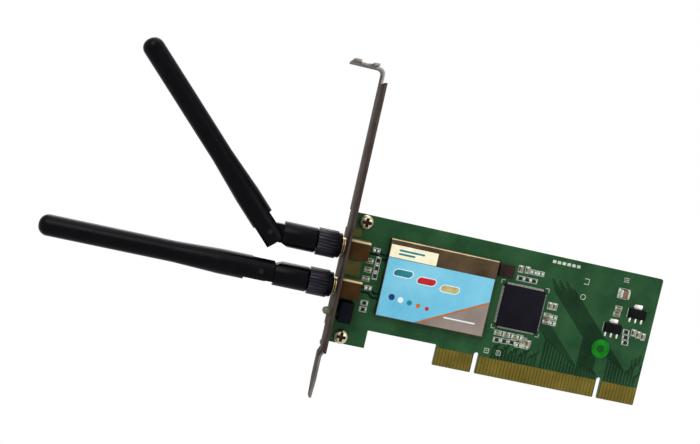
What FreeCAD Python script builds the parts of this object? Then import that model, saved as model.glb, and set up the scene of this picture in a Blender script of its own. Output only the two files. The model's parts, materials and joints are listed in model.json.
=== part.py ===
import FreeCAD, Part
import Sketcher
import os
import re

# Wireless network card for a PCI slot: a low-profile board on a full-height bracket,
# with two hinged whip antennas on coaxial jacks.
# Frame: +X along the board away from the bracket, +Z up from the contact edge,
# components face -Y. The origin is the middle of the contact edge, half way through the board.

SIZES = {
    # Board
    "board_length": 119.91,
    "board_height": 49.1,
    "board_thick": 1.57,
    "corner_radius": 0.8,
    "foot_width": 14.6,
    "foot_drop": 1.1,
    # Edge contacts
    "finger_places": 62,
    "finger_pitch": 1.27,
    "finger_width": 1.02,
    "finger_length": 6.3,
    "finger_skin": 0.05,
    "first_key_place": 11.5,
    "second_key_place": 49.5,
    "contact_margin": 0.8,
    "contact_depth": 7.75,
    "contact_bevel": 0.45,
    "key_width": 1.9,
    "key_depth": 7.9,
    # Bracket
    "sheet_thick": 0.86,
    "tab_bend_radius": 1.5,
    "bend_radius": 0.3,
    "bend_margin": 0.05,
    "bracket_gap": 0.35,
    "bracket_width": 18.42,
    "bracket_near": 14.35,
    "bracket_top": 101.15,
    "tab_reach": 11.8,
    "notch_width": 4.42,
    "notch_depth": 8.5,
    "notch_reach": 7.2,
    "neck_width": 6.5,
    "neck_drop": 5.9,
    "neck_relief": 3.0,
    "shoulder_drop": 0.9,
    "tongue_drop": 18.86,
    "tongue_width": 10.19,
    "tongue_tip_width": 4.6,
    "tongue_taper": 7.0,
    "tongue_offset": 0.9,
    "tongue_step": 2.0,
    "ear_reach": 9.2,
    "ear_height": 5.0,
    "ear_relief": 0.7,
    # Board screws
    "screw_inset": 5.35,
    "upper_screw_drop": 2.9,
    "lower_screw_rise": 2.55,
    "screw_radius": 1.42,
    "screw_clearance": 0.25,
    "thread_clearance": 0.03,
    "screw_head_radius": 2.7,
    "screw_head_height": 1.7,
    "screw_rim_height": 0.8,
    "screw_crown_radius": 1.75,
    "screw_proud": 1.2,
    "recess_length": 2.9,
    "recess_width": 0.7,
    "recess_depth": 0.9,
    # Coaxial jacks
    "lower_jack_rise": 22.0,
    "jack_spacing": 14.3,
    "jack_rise": 3.7,
    "block_start": 0.5,
    "block_length": 7.2,
    "block_height": 6.8,
    "block_depth": 7.2,
    "leg_width": 0.9,
    "leg_inset": 0.35,
    "leg_proud": 1.3,
    "leg_hole_clearance": 0.2,
    "barrel_radius": 3.12,
    "barrel_length": 9.1,
    "barrel_chamfer": 0.4,
    "barrel_clearance": 0.4,
    "socket_radius": 2.3,
    "socket_depth": 2.2,
    "insulator_radius": 2.0,
    "insulator_cover": 1.0,
    "seat_clearance": 0.02,
    "pin_radius": 0.45,
    "pin_proud": 2.0,
    "stem_radius": 0.65,
    "channel_radius": 1.2,
    # Status lamp
    "lamp_rise": 12.6,
    "lamp_lift": 3.6,
    "lamp_radius": 1.5,
    "lamp_flange_radius": 1.9,
    "lamp_flange_length": 1.0,
    "lamp_reach": 3.9,
    "lamp_hole_clearance": 0.3,
    "holder_start": 2.2,
    "holder_length": 4.7,
    "holder_height": 7.6,
    "holder_offset": 0.7,
    "holder_depth": 5.9,
    "lamp_lead_radius": 0.25,
    "lamp_lead_spacing": 2.54,
    # Antenna plug and coupling nut
    "nut_gap": 1.3,
    "nut_length": 8.6,
    "nut_radius": 4.95,
    "nut_nose_radius": 4.5,
    "nut_nose_length": 1.6,
    "nut_chamfer": 0.35,
    "nut_wall": 1.0,
    "nut_thread_clearance": 0.08,
    "knurl_count": 24,
    "knurl_depth": 0.3,
    "knurl_half_width": 0.35,
    "knurl_overcut": 0.06,
    "plug_wall": 0.4,
    "plug_clearance": 0.1,
    "plug_flange_radius": 2.95,
    "plug_face_gap": 0.3,
    "plug_neck_radius": 2.4,
    "plug_neck_length": 5.4,
    "plug_collar_radius": 3.1,
    "plug_collar_length": 1.0,
    "plug_end_gap": 0.06,
    "sleeve_radius": 0.75,
    # Swivel base and hinge
    "base_gap": 0.2,
    "base_radius": 4.5,
    "base_length": 12.2,
    "base_chamfer": 0.5,
    "base_slope": 2.4,
    "base_slope_depth": 1.3,
    "running_clearance": 0.05,
    "pivot_reach": 4.75,
    "tongue_radius": 3.3,
    "tongue_thick": 4.0,
    "hinge_pin_radius": 0.95,
    "hinge_pin_recess": 0.3,
    "hinge_clearance": 0.15,
    "tail_gap": 0.35,
    "cheek_relief": 1.05,
    "cheek_round": 3.2,
    "relief_reach": 5.8,
    "slot_gap": 0.5,
    # Whips
    "upper_tilt": 45.5,
    "lower_tilt": 0,
    "whip_length": 78.0,
    "whip_root_radius": 4.45,
    "whip_waist_radius": 3.78,
    "whip_flare_start": 15.0,
    "whip_flare_end": 31.0,
    "whip_tip_round": 3.3,
    "whip_bore_radius": 2.1,
    "whip_tip_wall": 8.0,
    "radiator_gap": 0.05,
    "coax_radius": 1.1,
    "coax_reach": 24.0,
    "sleeve_reach": 44.0,
    "whisker_radius": 0.7,
    "whisker_gap": 2.0,
    # Radio shield and its chips
    "shield_left": 15.2,
    "shield_low": 14.0,
    "shield_length": 41.1,
    "shield_height": 28.8,
    "shield_depth": 2.5,
    "shield_wall": 0.25,
    "shield_round": 0.5,
    "radio_size": 9.0,
    "radio_thick": 0.9,
    "amplifier_size": 4.0,
    "amplifier_thick": 0.9,
    "amplifier_spacing": 14.0,
    "shield_crystal_length": 3.2,
    "shield_crystal_height": 2.5,
    "shield_crystal_thick": 0.7,
    # Labels
    "label_skin": 0.1,
    "label_margin": 0.5,
    "label_height": 21.5,
    "strip_length": 17.6,
    "strip_height": 4.6,
    "strip_drop": 2.0,
    "dot_radius": 3.5,
    "dot_inset": 17.7,
    "dot_rise": 18.7,
    # Main chip
    "chip_gap": 3.41,
    "chip_rise": 27.3,
    "chip_size": 15.9,
    "chip_thick": 1.4,
    "chip_standoff": 0.1,
    "chip_bevel": 0.3,
    "lead_count": 28,
    "lead_pitch": 0.5,
    "lead_width": 0.24,
    "lead_thick": 0.15,
    "lead_span": 17.4,
    "lead_foot": 0.6,
    # Crystal beside the shield
    "crystal_gap": 0.7,
    "crystal_drop": 0.6,
    "crystal_length": 5.8,
    "crystal_height": 4.6,
    "crystal_thick": 1.5,
    # Voltage regulators
    "regulator_length": 6.5,
    "regulator_height": 3.5,
    "regulator_thick": 1.6,
    "regulator_tab_width": 3.0,
    "regulator_lead_width": 0.7,
    "regulator_lead_pitch": 2.3,
    "regulator_lead_reach": 1.75,
    "regulator_lead_thick": 0.3,
    "right_regulator_inset": 7.1,
    "right_regulator_rise": 34.3,
    "left_regulator_inset": 15.1,
    "left_regulator_rise": 27.2,
    # Small surface parts
    "small_length": 1.6,
    "small_height": 0.8,
    "capacitor_thick": 0.8,
    "resistor_thick": 0.45,
    "bulk_length": 3.5,
    "bulk_height": 2.8,
    "bulk_thick": 1.9,
    "bulk_inset": 13.9,
    "bulk_drop": 8.4,
    # How far a cutting tool runs past the surface it cuts
    "spare": 1.0,
}

RELATIONS = {
    "contact_span": "(finger_places - 1) * finger_pitch + 2 * contact_margin",
    "board_right": "contact_span / 2",
    "board_left": "board_right - board_length",
    "contact_left": "0 - contact_span / 2",
    "first_finger": "contact_left + contact_margin",
    "first_key": "first_finger + first_key_place * finger_pitch",
    "second_key": "first_finger + second_key_place * finger_pitch",
    "face": "0 - board_thick / 2",
    "back": "board_thick / 2",
    "plate_in": "board_left - bracket_gap",
    "plate_out": "plate_in - sheet_thick",
    "plate_near": "face - bracket_near",
    "plate_far": "plate_near + bracket_width",
    "plate_middle": "plate_near + bracket_width / 2",
    "tab_end": "plate_out - tab_reach",
    "tab_under": "bracket_top - sheet_thick",
    "notch_middle": "plate_out - notch_reach",
    "notch_end": "plate_near + notch_depth",
    "neck_edge": "plate_far - neck_width",
    "neck_low": "bracket_top - neck_drop",
    "shoulder": "0 - shoulder_drop",
    "tongue_tip": "0 - tongue_drop",
    "ear_far": "back + sheet_thick",
    "screw_middle": "board_left + screw_inset",
    "upper_screw": "board_height - upper_screw_drop",
    "lower_screw": "foot_drop + lower_screw_rise",
    "jack_axis": "face - jack_rise",
    "upper_jack": "lower_jack_rise + jack_spacing",
    "lower_jack": "lower_jack_rise",
    "barrel_front": "block_start - barrel_length",
    "socket_seat": "barrel_front + socket_depth",
    "channel_middle": "block_start + block_length / 2",
    "insulator_end": "channel_middle + insulator_cover",
    "insulator_length": "insulator_end - socket_seat",
    "lamp_axis": "face - lamp_lift",
    "lamp_lead_x": "board_left + holder_start + holder_length / 2",
    "nut_front": "0 - bracket_gap - sheet_thick - nut_gap",
    "nut_back": "nut_front - nut_length",
    "nut_floor": "nut_back + nut_wall",
    "flange_back": "nut_floor + plug_end_gap",
    "plug_nose_radius": "socket_radius - plug_clearance",
    "plug_bore_radius": "plug_nose_radius - plug_wall",
    "base_end": "nut_back - base_gap",
    "base_shoulder": "base_end - base_length",
    "neck_end": "base_end - plug_neck_length",
    "collar_end": "neck_end - plug_collar_length",
    "pivot": "base_shoulder - pivot_reach",
    "tail": "pivot_reach - tail_gap",
    "slot_end": "tongue_radius + slot_gap",
    "slot_width": "tongue_thick + 2 * hinge_clearance",
    "whip_bore_reach": "whip_length - whip_tip_wall",
    "whisker_reach": "whip_bore_reach - whisker_gap",
    "shield_x": "board_left + shield_left",
    "shield_right": "shield_x + shield_length",
    "shield_top": "shield_low + shield_height",
    "shield_face": "face - shield_depth",
    "chip_x": "shield_right + chip_gap + lead_span / 2",
    "right_regulator": "board_right - right_regulator_inset",
    "left_regulator": "board_right - left_regulator_inset",
}

# Small surface parts stand in rows: anchor X, anchor Z, how many, step in X, step in Z, turned upright
CAPACITOR_ROWS = [
    ("chip_x - 6.2", "chip_rise - lead_span / 2 - 1.9", 4, 3.4, -0.25, False),
    ("chip_x + 4.4", "chip_rise - lead_span / 2 - 3.4", 2, 1.7, -0.3, True),
    ("chip_x + lead_span / 2 + 2.2", "chip_rise + 3.2", 2, 1.9, 0.0, True),
    ("chip_x + lead_span / 2 + 2.0", "chip_rise - 0.6", 2, 0.0, -2.3, False),
    ("chip_x - 3.2", "chip_rise + lead_span / 2 + 5.6", 2, 2.6, 0.1, True),
    ("board_left + 9.6", "lower_jack + 4.2", 3, 0.0, 3.3, False),
    ("right_regulator - 7.6", "right_regulator_rise - 1.6", 2, 0.2, 2.2, False),
    ("right_regulator + 0.6", "right_regulator_rise - 7.2", 3, 2.0, -0.4, True),
]
RESISTOR_ROWS = [
    ("chip_x - 6.0", "chip_rise - lead_span / 2 - 4.6", 3, 2.9, 0.1, False),
    ("chip_x - 2.6", "chip_rise + lead_span / 2 + 2.2", 3, 2.6, 0.0, False),
    ("board_left + 12.6", "lower_jack + 5.8", 3, 0.0, 2.9, True),
    ("left_regulator + 5.6", "left_regulator_rise - 0.4", 3, 0.3, -2.0, False),
    ("board_left + 11.0", "lower_jack - 4.6", 2, 0.0, -2.4, False),
]

# Half the diagonal of a square of side 1, rounded up
HALF_DIAGONAL = 0.7072

# Lengths that differ by less than this count as the same
SAME_LENGTH = 1e-4

doc = FreeCAD.newDocument("wireless_card")
sheet = doc.addObject("Spreadsheet::Sheet", "Sizes")
nodes = []


def fill_sheet():
    """Write each driving size, then each relation, to a named cell."""
    rows = list(SIZES.items())
    rows += [(alias, "=" + formula) for alias, formula in RELATIONS.items()]
    for row, (alias, value) in enumerate(rows, start=1):
        sheet.set(f"A{row}", alias)
        sheet.set(f"B{row}", str(value))
        sheet.setAlias(f"B{row}", alias)
    doc.recompute()


def link(formula):
    """A formula of sheet names as an expression that other objects can read."""
    return re.sub(r"[a-z_]+", lambda word: "Sizes." + word.group(), formula)


def size(formula):
    """The present value of a formula of sheet names."""
    return float(sheet.evalExpression(link(formula)))


def place(item, x="0", y="0", z="0"):
    """Tie an object's place to the sheet."""
    for axis, formula in zip("xyz", (x, y, z)):
        item.setExpression(f"Placement.Base.{axis}", link(formula))
    return item


def keep(item, label):
    """Name a finished sub-part, which is then written to its own file."""
    item.Label = label
    nodes.append(item)
    return item


# Part primitives

def box(name, x, y, z, length, width, height):
    item = doc.addObject("Part::Box", name)
    item.setExpression("Length", link(length))
    item.setExpression("Width", link(width))
    item.setExpression("Height", link(height))
    return place(item, x, y, z)


def rod(name, direction, radius, length, x="0", y="0", z="0"):
    """A cylinder that starts at a point and runs along a direction."""
    item = doc.addObject("Part::Cylinder", name)
    turn = FreeCAD.Rotation(FreeCAD.Vector(0, 0, 1), FreeCAD.Vector(*direction))
    item.Placement = FreeCAD.Placement(FreeCAD.Vector(), turn)
    item.setExpression("Radius", link(radius))
    item.setExpression("Height", link(length))
    return place(item, x, y, z)


def fuse(name, items):
    item = doc.addObject("Part::MultiFuse", name)
    item.Shapes = items
    return item


def cut(name, base, tool):
    item = doc.addObject("Part::Cut", name)
    item.Base = base
    item.Tool = tool
    return item


def group(name, items):
    """Separate like solids in one node."""
    item = doc.addObject("Part::Compound", name)
    item.Links = items
    return item


# Bodies with sketches

def new_body(name):
    return doc.addObject("PartDesign::Body", name)


def new_sketch(body, role, offset):
    """A sketch on one of the body's own origin planes, moved along its normal."""
    sketch = body.newObject("Sketcher::SketchObject", "sketch")
    planes = [item for item in body.Origin.OriginFeatures if item.Role == role]
    sketch.AttachmentSupport = [(planes[0], "")]
    sketch.MapMode = "FlatFace"
    sketch.setExpression("AttachmentOffset.Base.z", link(offset))
    return sketch


def fix(sketch, kind, first, formula):
    """A constraint that takes its value from the sheet."""
    constraint = Sketcher.Constraint(kind, *first, size(formula))
    index = sketch.addConstraint(constraint)
    sketch.setExpression(f"Constraints[{index}]", link(formula))


def outline(body, role, loops, offset="0"):
    """A sketch of closed straight-sided loops, each corner a pair of formulas."""
    sketch = new_sketch(body, role, offset)
    for loop in loops:
        first = sketch.GeometryCount
        corners = [FreeCAD.Vector(size(u), size(v), 0) for u, v in loop]
        for start, end in zip(corners, corners[1:] + corners[:1]):
            sketch.addGeometry(Part.LineSegment(start, end))
        count = len(corners)
        for step in range(count):
            following = first + (step + 1) % count
            sketch.addConstraint(Sketcher.Constraint("Coincident", first + step, 2, following, 1))
        for step, (u, v) in enumerate(loop):
            fix(sketch, "DistanceX", (-1, 1, first + step, 1), u)
            fix(sketch, "DistanceY", (-1, 1, first + step, 1), v)
    return sketch


def circles(body, role, rounds, offset="0"):
    """A sketch of circles, each a centre and a radius as formulas."""
    sketch = new_sketch(body, role, offset)
    for u, v, radius in rounds:
        centre = FreeCAD.Vector(size(u), size(v), 0)
        index = sketch.addGeometry(Part.Circle(centre, FreeCAD.Vector(0, 0, 1), size(radius)))
        fix(sketch, "DistanceX", (-1, 1, index, 3), u)
        fix(sketch, "DistanceY", (-1, 1, index, 3), v)
        fix(sketch, "Radius", (index,), radius)
    return sketch


def rectangle(low_u, low_v, high_u, high_v):
    return [(low_u, low_v), (high_u, low_v), (high_u, high_v), (low_u, high_v)]


def feature(body, kind, sketch, length, side="One side", back_to_front=False):
    """A Pad or a Pocket of a sketch."""
    item = body.newObject("PartDesign::" + kind, kind.lower())
    item.Profile = sketch
    item.SideType = side
    item.Reversed = back_to_front
    item.setExpression("Length", link(length))
    doc.recompute()
    return item


def bore_through(body, sketch):
    """A Pocket right through the body, both ways from its sketch."""
    item = body.newObject("PartDesign::Pocket", "through")
    item.Profile = sketch
    item.SideType = "Symmetric"
    item.Type = "ThroughAll"
    doc.recompute()
    return item


def revolve(body, profile):
    """Turn a profile of (x, radius) corners about the body's X axis."""
    sketch = outline(body, "XZ_Plane", [profile])
    item = body.newObject("PartDesign::Revolution", "turned")
    item.Profile = sketch
    item.ReferenceAxis = (sketch, ["H_Axis"])
    item.Angle = 360
    doc.recompute()
    return item


def find_edges(shape, test):
    """The names of the edges whose middle and direction or radius pass a test."""
    names = []
    for index, edge in enumerate(shape.Edges, start=1):
        middle = edge.valueAt((edge.FirstParameter + edge.LastParameter) / 2)
        if test(edge, middle):
            names.append(f"Edge{index}")
    return names


def near(value, formula):
    return abs(value - size(formula)) < SAME_LENGTH


def dress(body, kind, names, formula):
    """A Fillet or a Chamfer on named edges of the body's tip."""
    tip = body.Tip
    item = body.newObject("PartDesign::" + kind, kind.lower())
    item.Base = (tip, names)
    item.setExpression("Radius" if kind == "Fillet" else "Size", link(formula))
    doc.recompute()
    return item


def straight(edge, axis):
    """True for a straight edge along an axis, 0 to 2 for X to Z."""
    ends = [vertex.Point for vertex in edge.Vertexes]
    if len(ends) != 2 or edge.Curve.TypeId != "Part::GeomLine":
        return False
    run = ends[1] - ends[0]
    return abs(abs(run[axis]) - run.Length) < SAME_LENGTH


def slab(name, x, z, length, height, seat, thick, bevel="chip_bevel"):
    """A moulded block on a face of the board, its front edges bevelled."""
    body = new_body(name)
    corners = rectangle(f"0 - ({length}) / 2", f"0 - ({height}) / 2", f"({length}) / 2", f"({height}) / 2")
    feature(body, "Pad", outline(body, "XZ_Plane", [corners]), thick)
    rim = find_edges(body.Shape, lambda edge, middle: near(middle.y, f"0 - ({thick})"))
    dress(body, "Chamfer", rim, bevel)
    return place(body, x, seat, z)


# Board and contacts

def make_board():
    body = new_body("board")
    profile = [
        ("board_left", "foot_drop"),
        ("board_left + foot_width", "foot_drop"),
        ("board_left + foot_width", "contact_depth"),
        ("contact_left", "contact_depth"),
        ("contact_left", "0"),
        ("board_right", "0"),
        ("board_right", "board_height"),
        ("board_left", "board_height"),
    ]
    feature(body, "Pad", outline(body, "XZ_Plane", [profile]), "board_thick", "Symmetric")
    key_round = "key_depth - key_width / 2"
    keys = [
        rectangle(f"{key} - key_width / 2", "0 - spare", f"{key} + key_width / 2", key_round)
        for key in ("first_key", "second_key")
    ]
    bore_through(body, outline(body, "XZ_Plane", keys))
    key_ends = [(key, key_round, "key_width / 2") for key in ("first_key", "second_key")]
    bore_through(body, circles(body, "XZ_Plane", key_ends))
    holes = [
        ("screw_middle", "upper_screw", "screw_radius + screw_clearance"),
        ("screw_middle", "lower_screw", "screw_radius + screw_clearance"),
    ]
    leg_hole = f"leg_width * {HALF_DIAGONAL} + leg_hole_clearance"
    for jack in ("upper_jack", "lower_jack"):
        holes.append(("board_left + channel_middle", jack, "pin_radius + leg_hole_clearance"))
        for x in ("block_start + leg_inset + leg_width / 2",
                  "block_start + block_length - leg_inset - leg_width / 2"):
            for side in ("+", "-"):
                z = f"{jack} {side} (block_height / 2 - leg_inset - leg_width / 2)"
                holes.append((f"board_left + {x}", z, leg_hole))
    for side in ("+", "-"):
        z = f"lamp_rise {side} lamp_lead_spacing / 2"
        holes.append(("lamp_lead_x", z, "lamp_lead_radius + leg_hole_clearance"))
    bore_through(body, circles(body, "XZ_Plane", holes))

    def outer_corner(edge, middle):
        if not straight(edge, 1):
            return False
        at_side = near(middle.x, "board_right") or near(middle.x, "board_left")
        return at_side and not near(middle.z, "0")

    dress(body, "Fillet", find_edges(body.Shape, outer_corner), "corner_radius")

    def contact_rim(edge, middle):
        on_face = near(middle.y, "face") or near(middle.y, "back")
        return on_face and near(middle.z, "0") and straight(edge, 0)

    dress(body, "Chamfer", find_edges(body.Shape, contact_rim), "contact_bevel")
    keep(body, "board")


def finger_columns():
    """Contact places, without the two pairs that the keys take."""
    keys = [size("first_key_place"), size("second_key_place")]
    columns = range(int(size("finger_places")))
    return [column for column in columns if all(abs(column - key) > 1 for key in keys)]


def make_contacts():
    pitch = size("finger_pitch")
    first = size("first_finger") - size("finger_width") / 2
    low = size("contact_bevel") + size("finger_skin")
    finger = [size("finger_width"), size("finger_skin"), size("finger_length")]
    for name, y in (("front_contacts", "face - finger_skin"), ("back_contacts", "back")):
        fingers = []
        for column in finger_columns():
            corner = FreeCAD.Vector(first + column * pitch, size(y), low)
            fingers.append(Part.makeBox(*finger, corner))
        item = doc.addObject("Part::Feature", name)
        item.Shape = Part.makeCompound(fingers)
        keep(item, name)


# Bracket and its screws

def make_bracket():
    body = new_body("bracket")
    section = [
        ("plate_in - tongue_offset", "tongue_tip"),
        ("plate_in - tongue_offset", "shoulder - tongue_step"),
        ("plate_in", "shoulder"),
        ("plate_in", "bracket_top"),
        ("tab_end", "bracket_top"),
        ("tab_end", "tab_under"),
        ("plate_out", "tab_under"),
        ("plate_out", "shoulder"),
        ("plate_out - tongue_offset", "shoulder - tongue_step"),
        ("plate_out - tongue_offset", "tongue_tip"),
    ]
    sketch = outline(body, "XZ_Plane", [section], "0 - plate_far")
    feature(body, "Pad", sketch, "bracket_width")

    def fold(x, z):
        return find_edges(
            body.Shape,
            lambda edge, middle: straight(edge, 1) and near(middle.x, x) and near(middle.z, z))

    dress(body, "Fillet", fold("plate_in", "bracket_top"), "tab_bend_radius + sheet_thick")
    dress(body, "Fillet", fold("plate_out", "tab_under"), "tab_bend_radius")

    # The lower end narrows at two shoulders to a tapered tongue, set outwards
    waste = []
    for side, edge in (("-", "plate_near - spare"), ("+", "plate_far + spare")):
        waste.append([
            (edge, "shoulder"),
            (f"plate_middle {side} tongue_width / 2", "shoulder"),
            (f"plate_middle {side} tongue_width / 2", "tongue_tip + tongue_taper"),
            (f"plate_middle {side} tongue_tip_width / 2", "tongue_tip"),
            (f"plate_middle {side} tongue_tip_width / 2", "tongue_tip - spare"),
            (edge, "tongue_tip - spare"),
        ])
    # The far edge steps in where each ear is folded, with a slit at both ends of the fold
    for screw in ("upper_screw", "lower_screw"):
        steps = [("- 1", "+ ear_relief"), ("- 1", ""), ("+ 1", ""), ("+ 1", "+ ear_relief")]
        levels = [f"{screw} {sign} * (ear_height / 2 {relief})" for sign, relief in steps]
        depths = ["plate_far + spare", "back - bend_radius", "ear_far"]
        waste.append([
            (depths[0], levels[0]),
            (depths[1], levels[0]),
            (depths[1], levels[1]),
            (depths[2], levels[1]),
            (depths[2], levels[2]),
            (depths[1], levels[2]),
            (depths[1], levels[3]),
            (depths[0], levels[3]),
        ])
    feature(body, "Pocket", outline(body, "YZ_Plane", waste, "plate_in"), "sheet_thick + tongue_offset")
    neck = rectangle("plate_near - spare", "neck_low", "neck_edge", "bracket_top + spare")
    feature(body, "Pocket", outline(body, "YZ_Plane", [neck], "plate_in"), "sheet_thick + neck_relief")
    notch = rectangle("notch_middle - notch_width / 2", "plate_near - spare",
                      "notch_middle + notch_width / 2", "notch_end - notch_width / 2")
    feature(body, "Pocket", outline(body, "XY_Plane", [notch], "bracket_top"), "sheet_thick")
    notch_round = [("notch_middle", "notch_end - notch_width / 2", "notch_width / 2")]
    feature(body, "Pocket", circles(body, "XY_Plane", notch_round, "bracket_top"), "sheet_thick")
    openings = [
        ("jack_axis", "upper_jack", "barrel_radius + barrel_clearance"),
        ("jack_axis", "lower_jack", "barrel_radius + barrel_clearance"),
        ("lamp_axis", "lamp_rise", "lamp_radius + lamp_hole_clearance"),
    ]
    feature(body, "Pocket", circles(body, "YZ_Plane", openings, "plate_in"), "sheet_thick")

    # Two ears fold in behind the board and take its screws
    for screw in ("upper_screw", "lower_screw"):
        ear = rectangle("plate_out", "back", "plate_in + ear_reach", "ear_far")
        sketch = outline(body, "XY_Plane", [ear], f"{screw} - ear_height / 2")
        feature(body, "Pad", sketch, "ear_height")

    def ear_edge(x, y):
        return find_edges(
            body.Shape,
            lambda edge, middle: straight(edge, 2) and near(middle.x, x) and near(middle.y, y))

    dress(body, "Fillet", ear_edge("plate_out", "ear_far"), "bend_radius + sheet_thick - bend_margin")
    taps = [
        ("screw_middle", "upper_screw", "screw_radius + thread_clearance"),
        ("screw_middle", "lower_screw", "screw_radius + thread_clearance"),
    ]
    bore_through(body, circles(body, "XZ_Plane", taps))
    keep(body, "bracket")


def make_screws():
    """Cross-headed screws, turned about X and then stood along Y."""
    screws = []
    for level in ("upper_screw", "lower_screw"):
        body = new_body("board_screw")
        revolve(body, [
            ("0 - screw_head_height", "0"),
            ("0 - screw_head_height", "screw_crown_radius"),
            ("0 - screw_rim_height", "screw_head_radius"),
            ("0", "screw_head_radius"),
            ("0", "screw_radius"),
            ("board_thick + sheet_thick + screw_proud", "screw_radius"),
            ("board_thick + sheet_thick + screw_proud", "0"),
        ])
        for width, height in (("recess_length", "recess_width"), ("recess_width", "recess_length")):
            slot = rectangle(f"0 - {width} / 2", f"0 - {height} / 2", f"{width} / 2", f"{height} / 2")
            sketch = outline(body, "YZ_Plane", [slot], "recess_depth - screw_head_height")
            feature(body, "Pocket", sketch, "recess_depth + spare")
        body.Placement.Rotation = FreeCAD.Rotation(FreeCAD.Vector(0, 0, 1), 90)
        screws.append(place(body, "screw_middle", "face", level))
    keep(group("board_screws", screws), "board_screws")


# Coaxial jacks

def make_jack(side):
    jack = side + "_jack"
    body = new_body(jack + "_body")
    flank = rectangle("jack_rise - block_depth", "0 - block_height / 2", "jack_rise", "block_height / 2")
    feature(body, "Pad", outline(body, "YZ_Plane", [flank], "block_start"), "block_length")
    legs = []
    for start in ("block_start + leg_inset", "block_start + block_length - leg_inset - leg_width"):
        for low in ("0 - block_height / 2 + leg_inset", "block_height / 2 - leg_inset - leg_width"):
            legs.append(rectangle(start, low, f"{start} + leg_width", f"{low} + leg_width"))
    sketch = outline(body, "XZ_Plane", legs, "0 - jack_rise")
    feature(body, "Pad", sketch, "board_thick + leg_proud", back_to_front=True)
    revolve(body, [
        ("barrel_front", "0"),
        ("barrel_front", "barrel_radius - barrel_chamfer"),
        ("barrel_front + barrel_chamfer", "barrel_radius"),
        ("block_start + spare", "barrel_radius"),
        ("block_start + spare", "0"),
    ])
    socket = circles(body, "YZ_Plane", [("0", "0", "socket_radius")], "socket_seat")
    feature(body, "Pocket", socket, "socket_depth + spare")
    hollow = circles(body, "YZ_Plane", [("0", "0", "insulator_radius + seat_clearance")], "insulator_end")
    feature(body, "Pocket", hollow, "insulator_length + spare")
    channel = circles(body, "XZ_Plane", [("channel_middle", "0", "channel_radius")], "0")
    feature(body, "Pocket", channel, "jack_rise + spare")
    place(keep(body, jack + "_body"), "board_left", "jack_axis", jack)

    plug = rod(jack + "_rod", (1, 0, 0), "insulator_radius", "insulator_length", "socket_seat")
    bore = rod(jack + "_bore", (1, 0, 0), "stem_radius + seat_clearance", "insulator_length + 2 * spare",
               "socket_seat - spare")
    slot = rod(jack + "_slot", (0, 1, 0), "stem_radius + seat_clearance", "insulator_radius + spare",
               "channel_middle")
    insulator = cut(jack + "_insulator", plug, fuse(jack + "_hollow", [bore, slot]))
    place(keep(insulator, jack + "_insulator"), "board_left", "jack_axis", jack)

    pin = rod(jack + "_pin", (1, 0, 0), "pin_radius", "pin_proud + spare", "socket_seat - pin_proud")
    stem = rod(jack + "_stem", (1, 0, 0), "stem_radius", "channel_middle - socket_seat + pin_radius",
               "socket_seat")
    leg = rod(jack + "_leg", (0, 1, 0), "pin_radius", "jack_rise + board_thick + leg_proud", "channel_middle")
    contact = fuse(jack + "_contact", [pin, stem, leg])
    place(keep(contact, jack + "_contact"), "board_left", "jack_axis", jack)


# Status lamp

def make_lamp():
    shell = box("holder_shell", "holder_start", "0 - (holder_depth - lamp_lift)", "holder_offset - holder_height / 2",
                "holder_length", "holder_depth", "holder_height")
    pocket = rod("holder_pocket", (1, 0, 0), "lamp_flange_radius + seat_clearance",
                 "lamp_flange_length + spare", "holder_start - spare")
    place(keep(cut("lamp_holder", shell, pocket), "lamp_holder"), "board_left", "lamp_axis", "lamp_rise")

    flange = rod("lamp_flange", (1, 0, 0), "lamp_flange_radius", "lamp_flange_length", "holder_start")
    barrel = rod("lamp_barrel", (-1, 0, 0), "lamp_radius", "holder_start + lamp_reach - lamp_radius",
                 "holder_start")
    dome = doc.addObject("Part::Sphere", "lamp_dome")
    dome.setExpression("Radius", link("lamp_radius"))
    place(dome, "lamp_radius - lamp_reach")
    lens = fuse("lamp_lens", [flange, barrel, dome])
    place(keep(lens, "lamp_lens"), "board_left", "lamp_axis", "lamp_rise")

    leads = []
    for side in ("+", "-"):
        leads.append(rod("lamp_lead", (0, 1, 0), "lamp_lead_radius", "board_thick + leg_proud",
                         "lamp_lead_x", "face", f"lamp_rise {side} lamp_lead_spacing / 2"))
    keep(group("lamp_leads", leads), "lamp_leads")


# Antennas

def make_plug(side):
    jack = side + "_jack"
    core = new_body(side + "_plug_core")
    revolve(core, [
        ("socket_seat", "plug_bore_radius"),
        ("socket_seat", "plug_nose_radius"),
        ("barrel_front - plug_face_gap", "plug_nose_radius"),
        ("barrel_front - plug_face_gap", "plug_flange_radius"),
        ("flange_back", "plug_flange_radius"),
        ("flange_back", "plug_neck_radius"),
        ("neck_end", "plug_neck_radius"),
        ("neck_end", "plug_collar_radius"),
        ("collar_end", "plug_collar_radius"),
        ("collar_end", "plug_bore_radius"),
    ])
    place(keep(core, side + "_plug_core"), "board_left", "jack_axis", jack)

    lining = new_body(side + "_plug_insulator")
    revolve(lining, [
        ("socket_seat - plug_wall", "sleeve_radius + seat_clearance"),
        ("socket_seat - plug_wall", "plug_bore_radius - seat_clearance"),
        ("collar_end", "plug_bore_radius - seat_clearance"),
        ("collar_end", "sleeve_radius + seat_clearance"),
    ])
    place(keep(lining, side + "_plug_insulator"), "board_left", "jack_axis", jack)

    sleeve = new_body(side + "_plug_contact")
    revolve(sleeve, [
        ("socket_seat - plug_wall", "pin_radius + running_clearance"),
        ("socket_seat - plug_wall", "sleeve_radius"),
        ("collar_end", "sleeve_radius"),
        ("collar_end", "0"),
        ("socket_seat - pin_proud - plug_wall", "0"),
        ("socket_seat - pin_proud - plug_wall", "pin_radius + running_clearance"),
    ])
    place(keep(sleeve, side + "_plug_contact"), "board_left", "jack_axis", jack)


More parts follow.
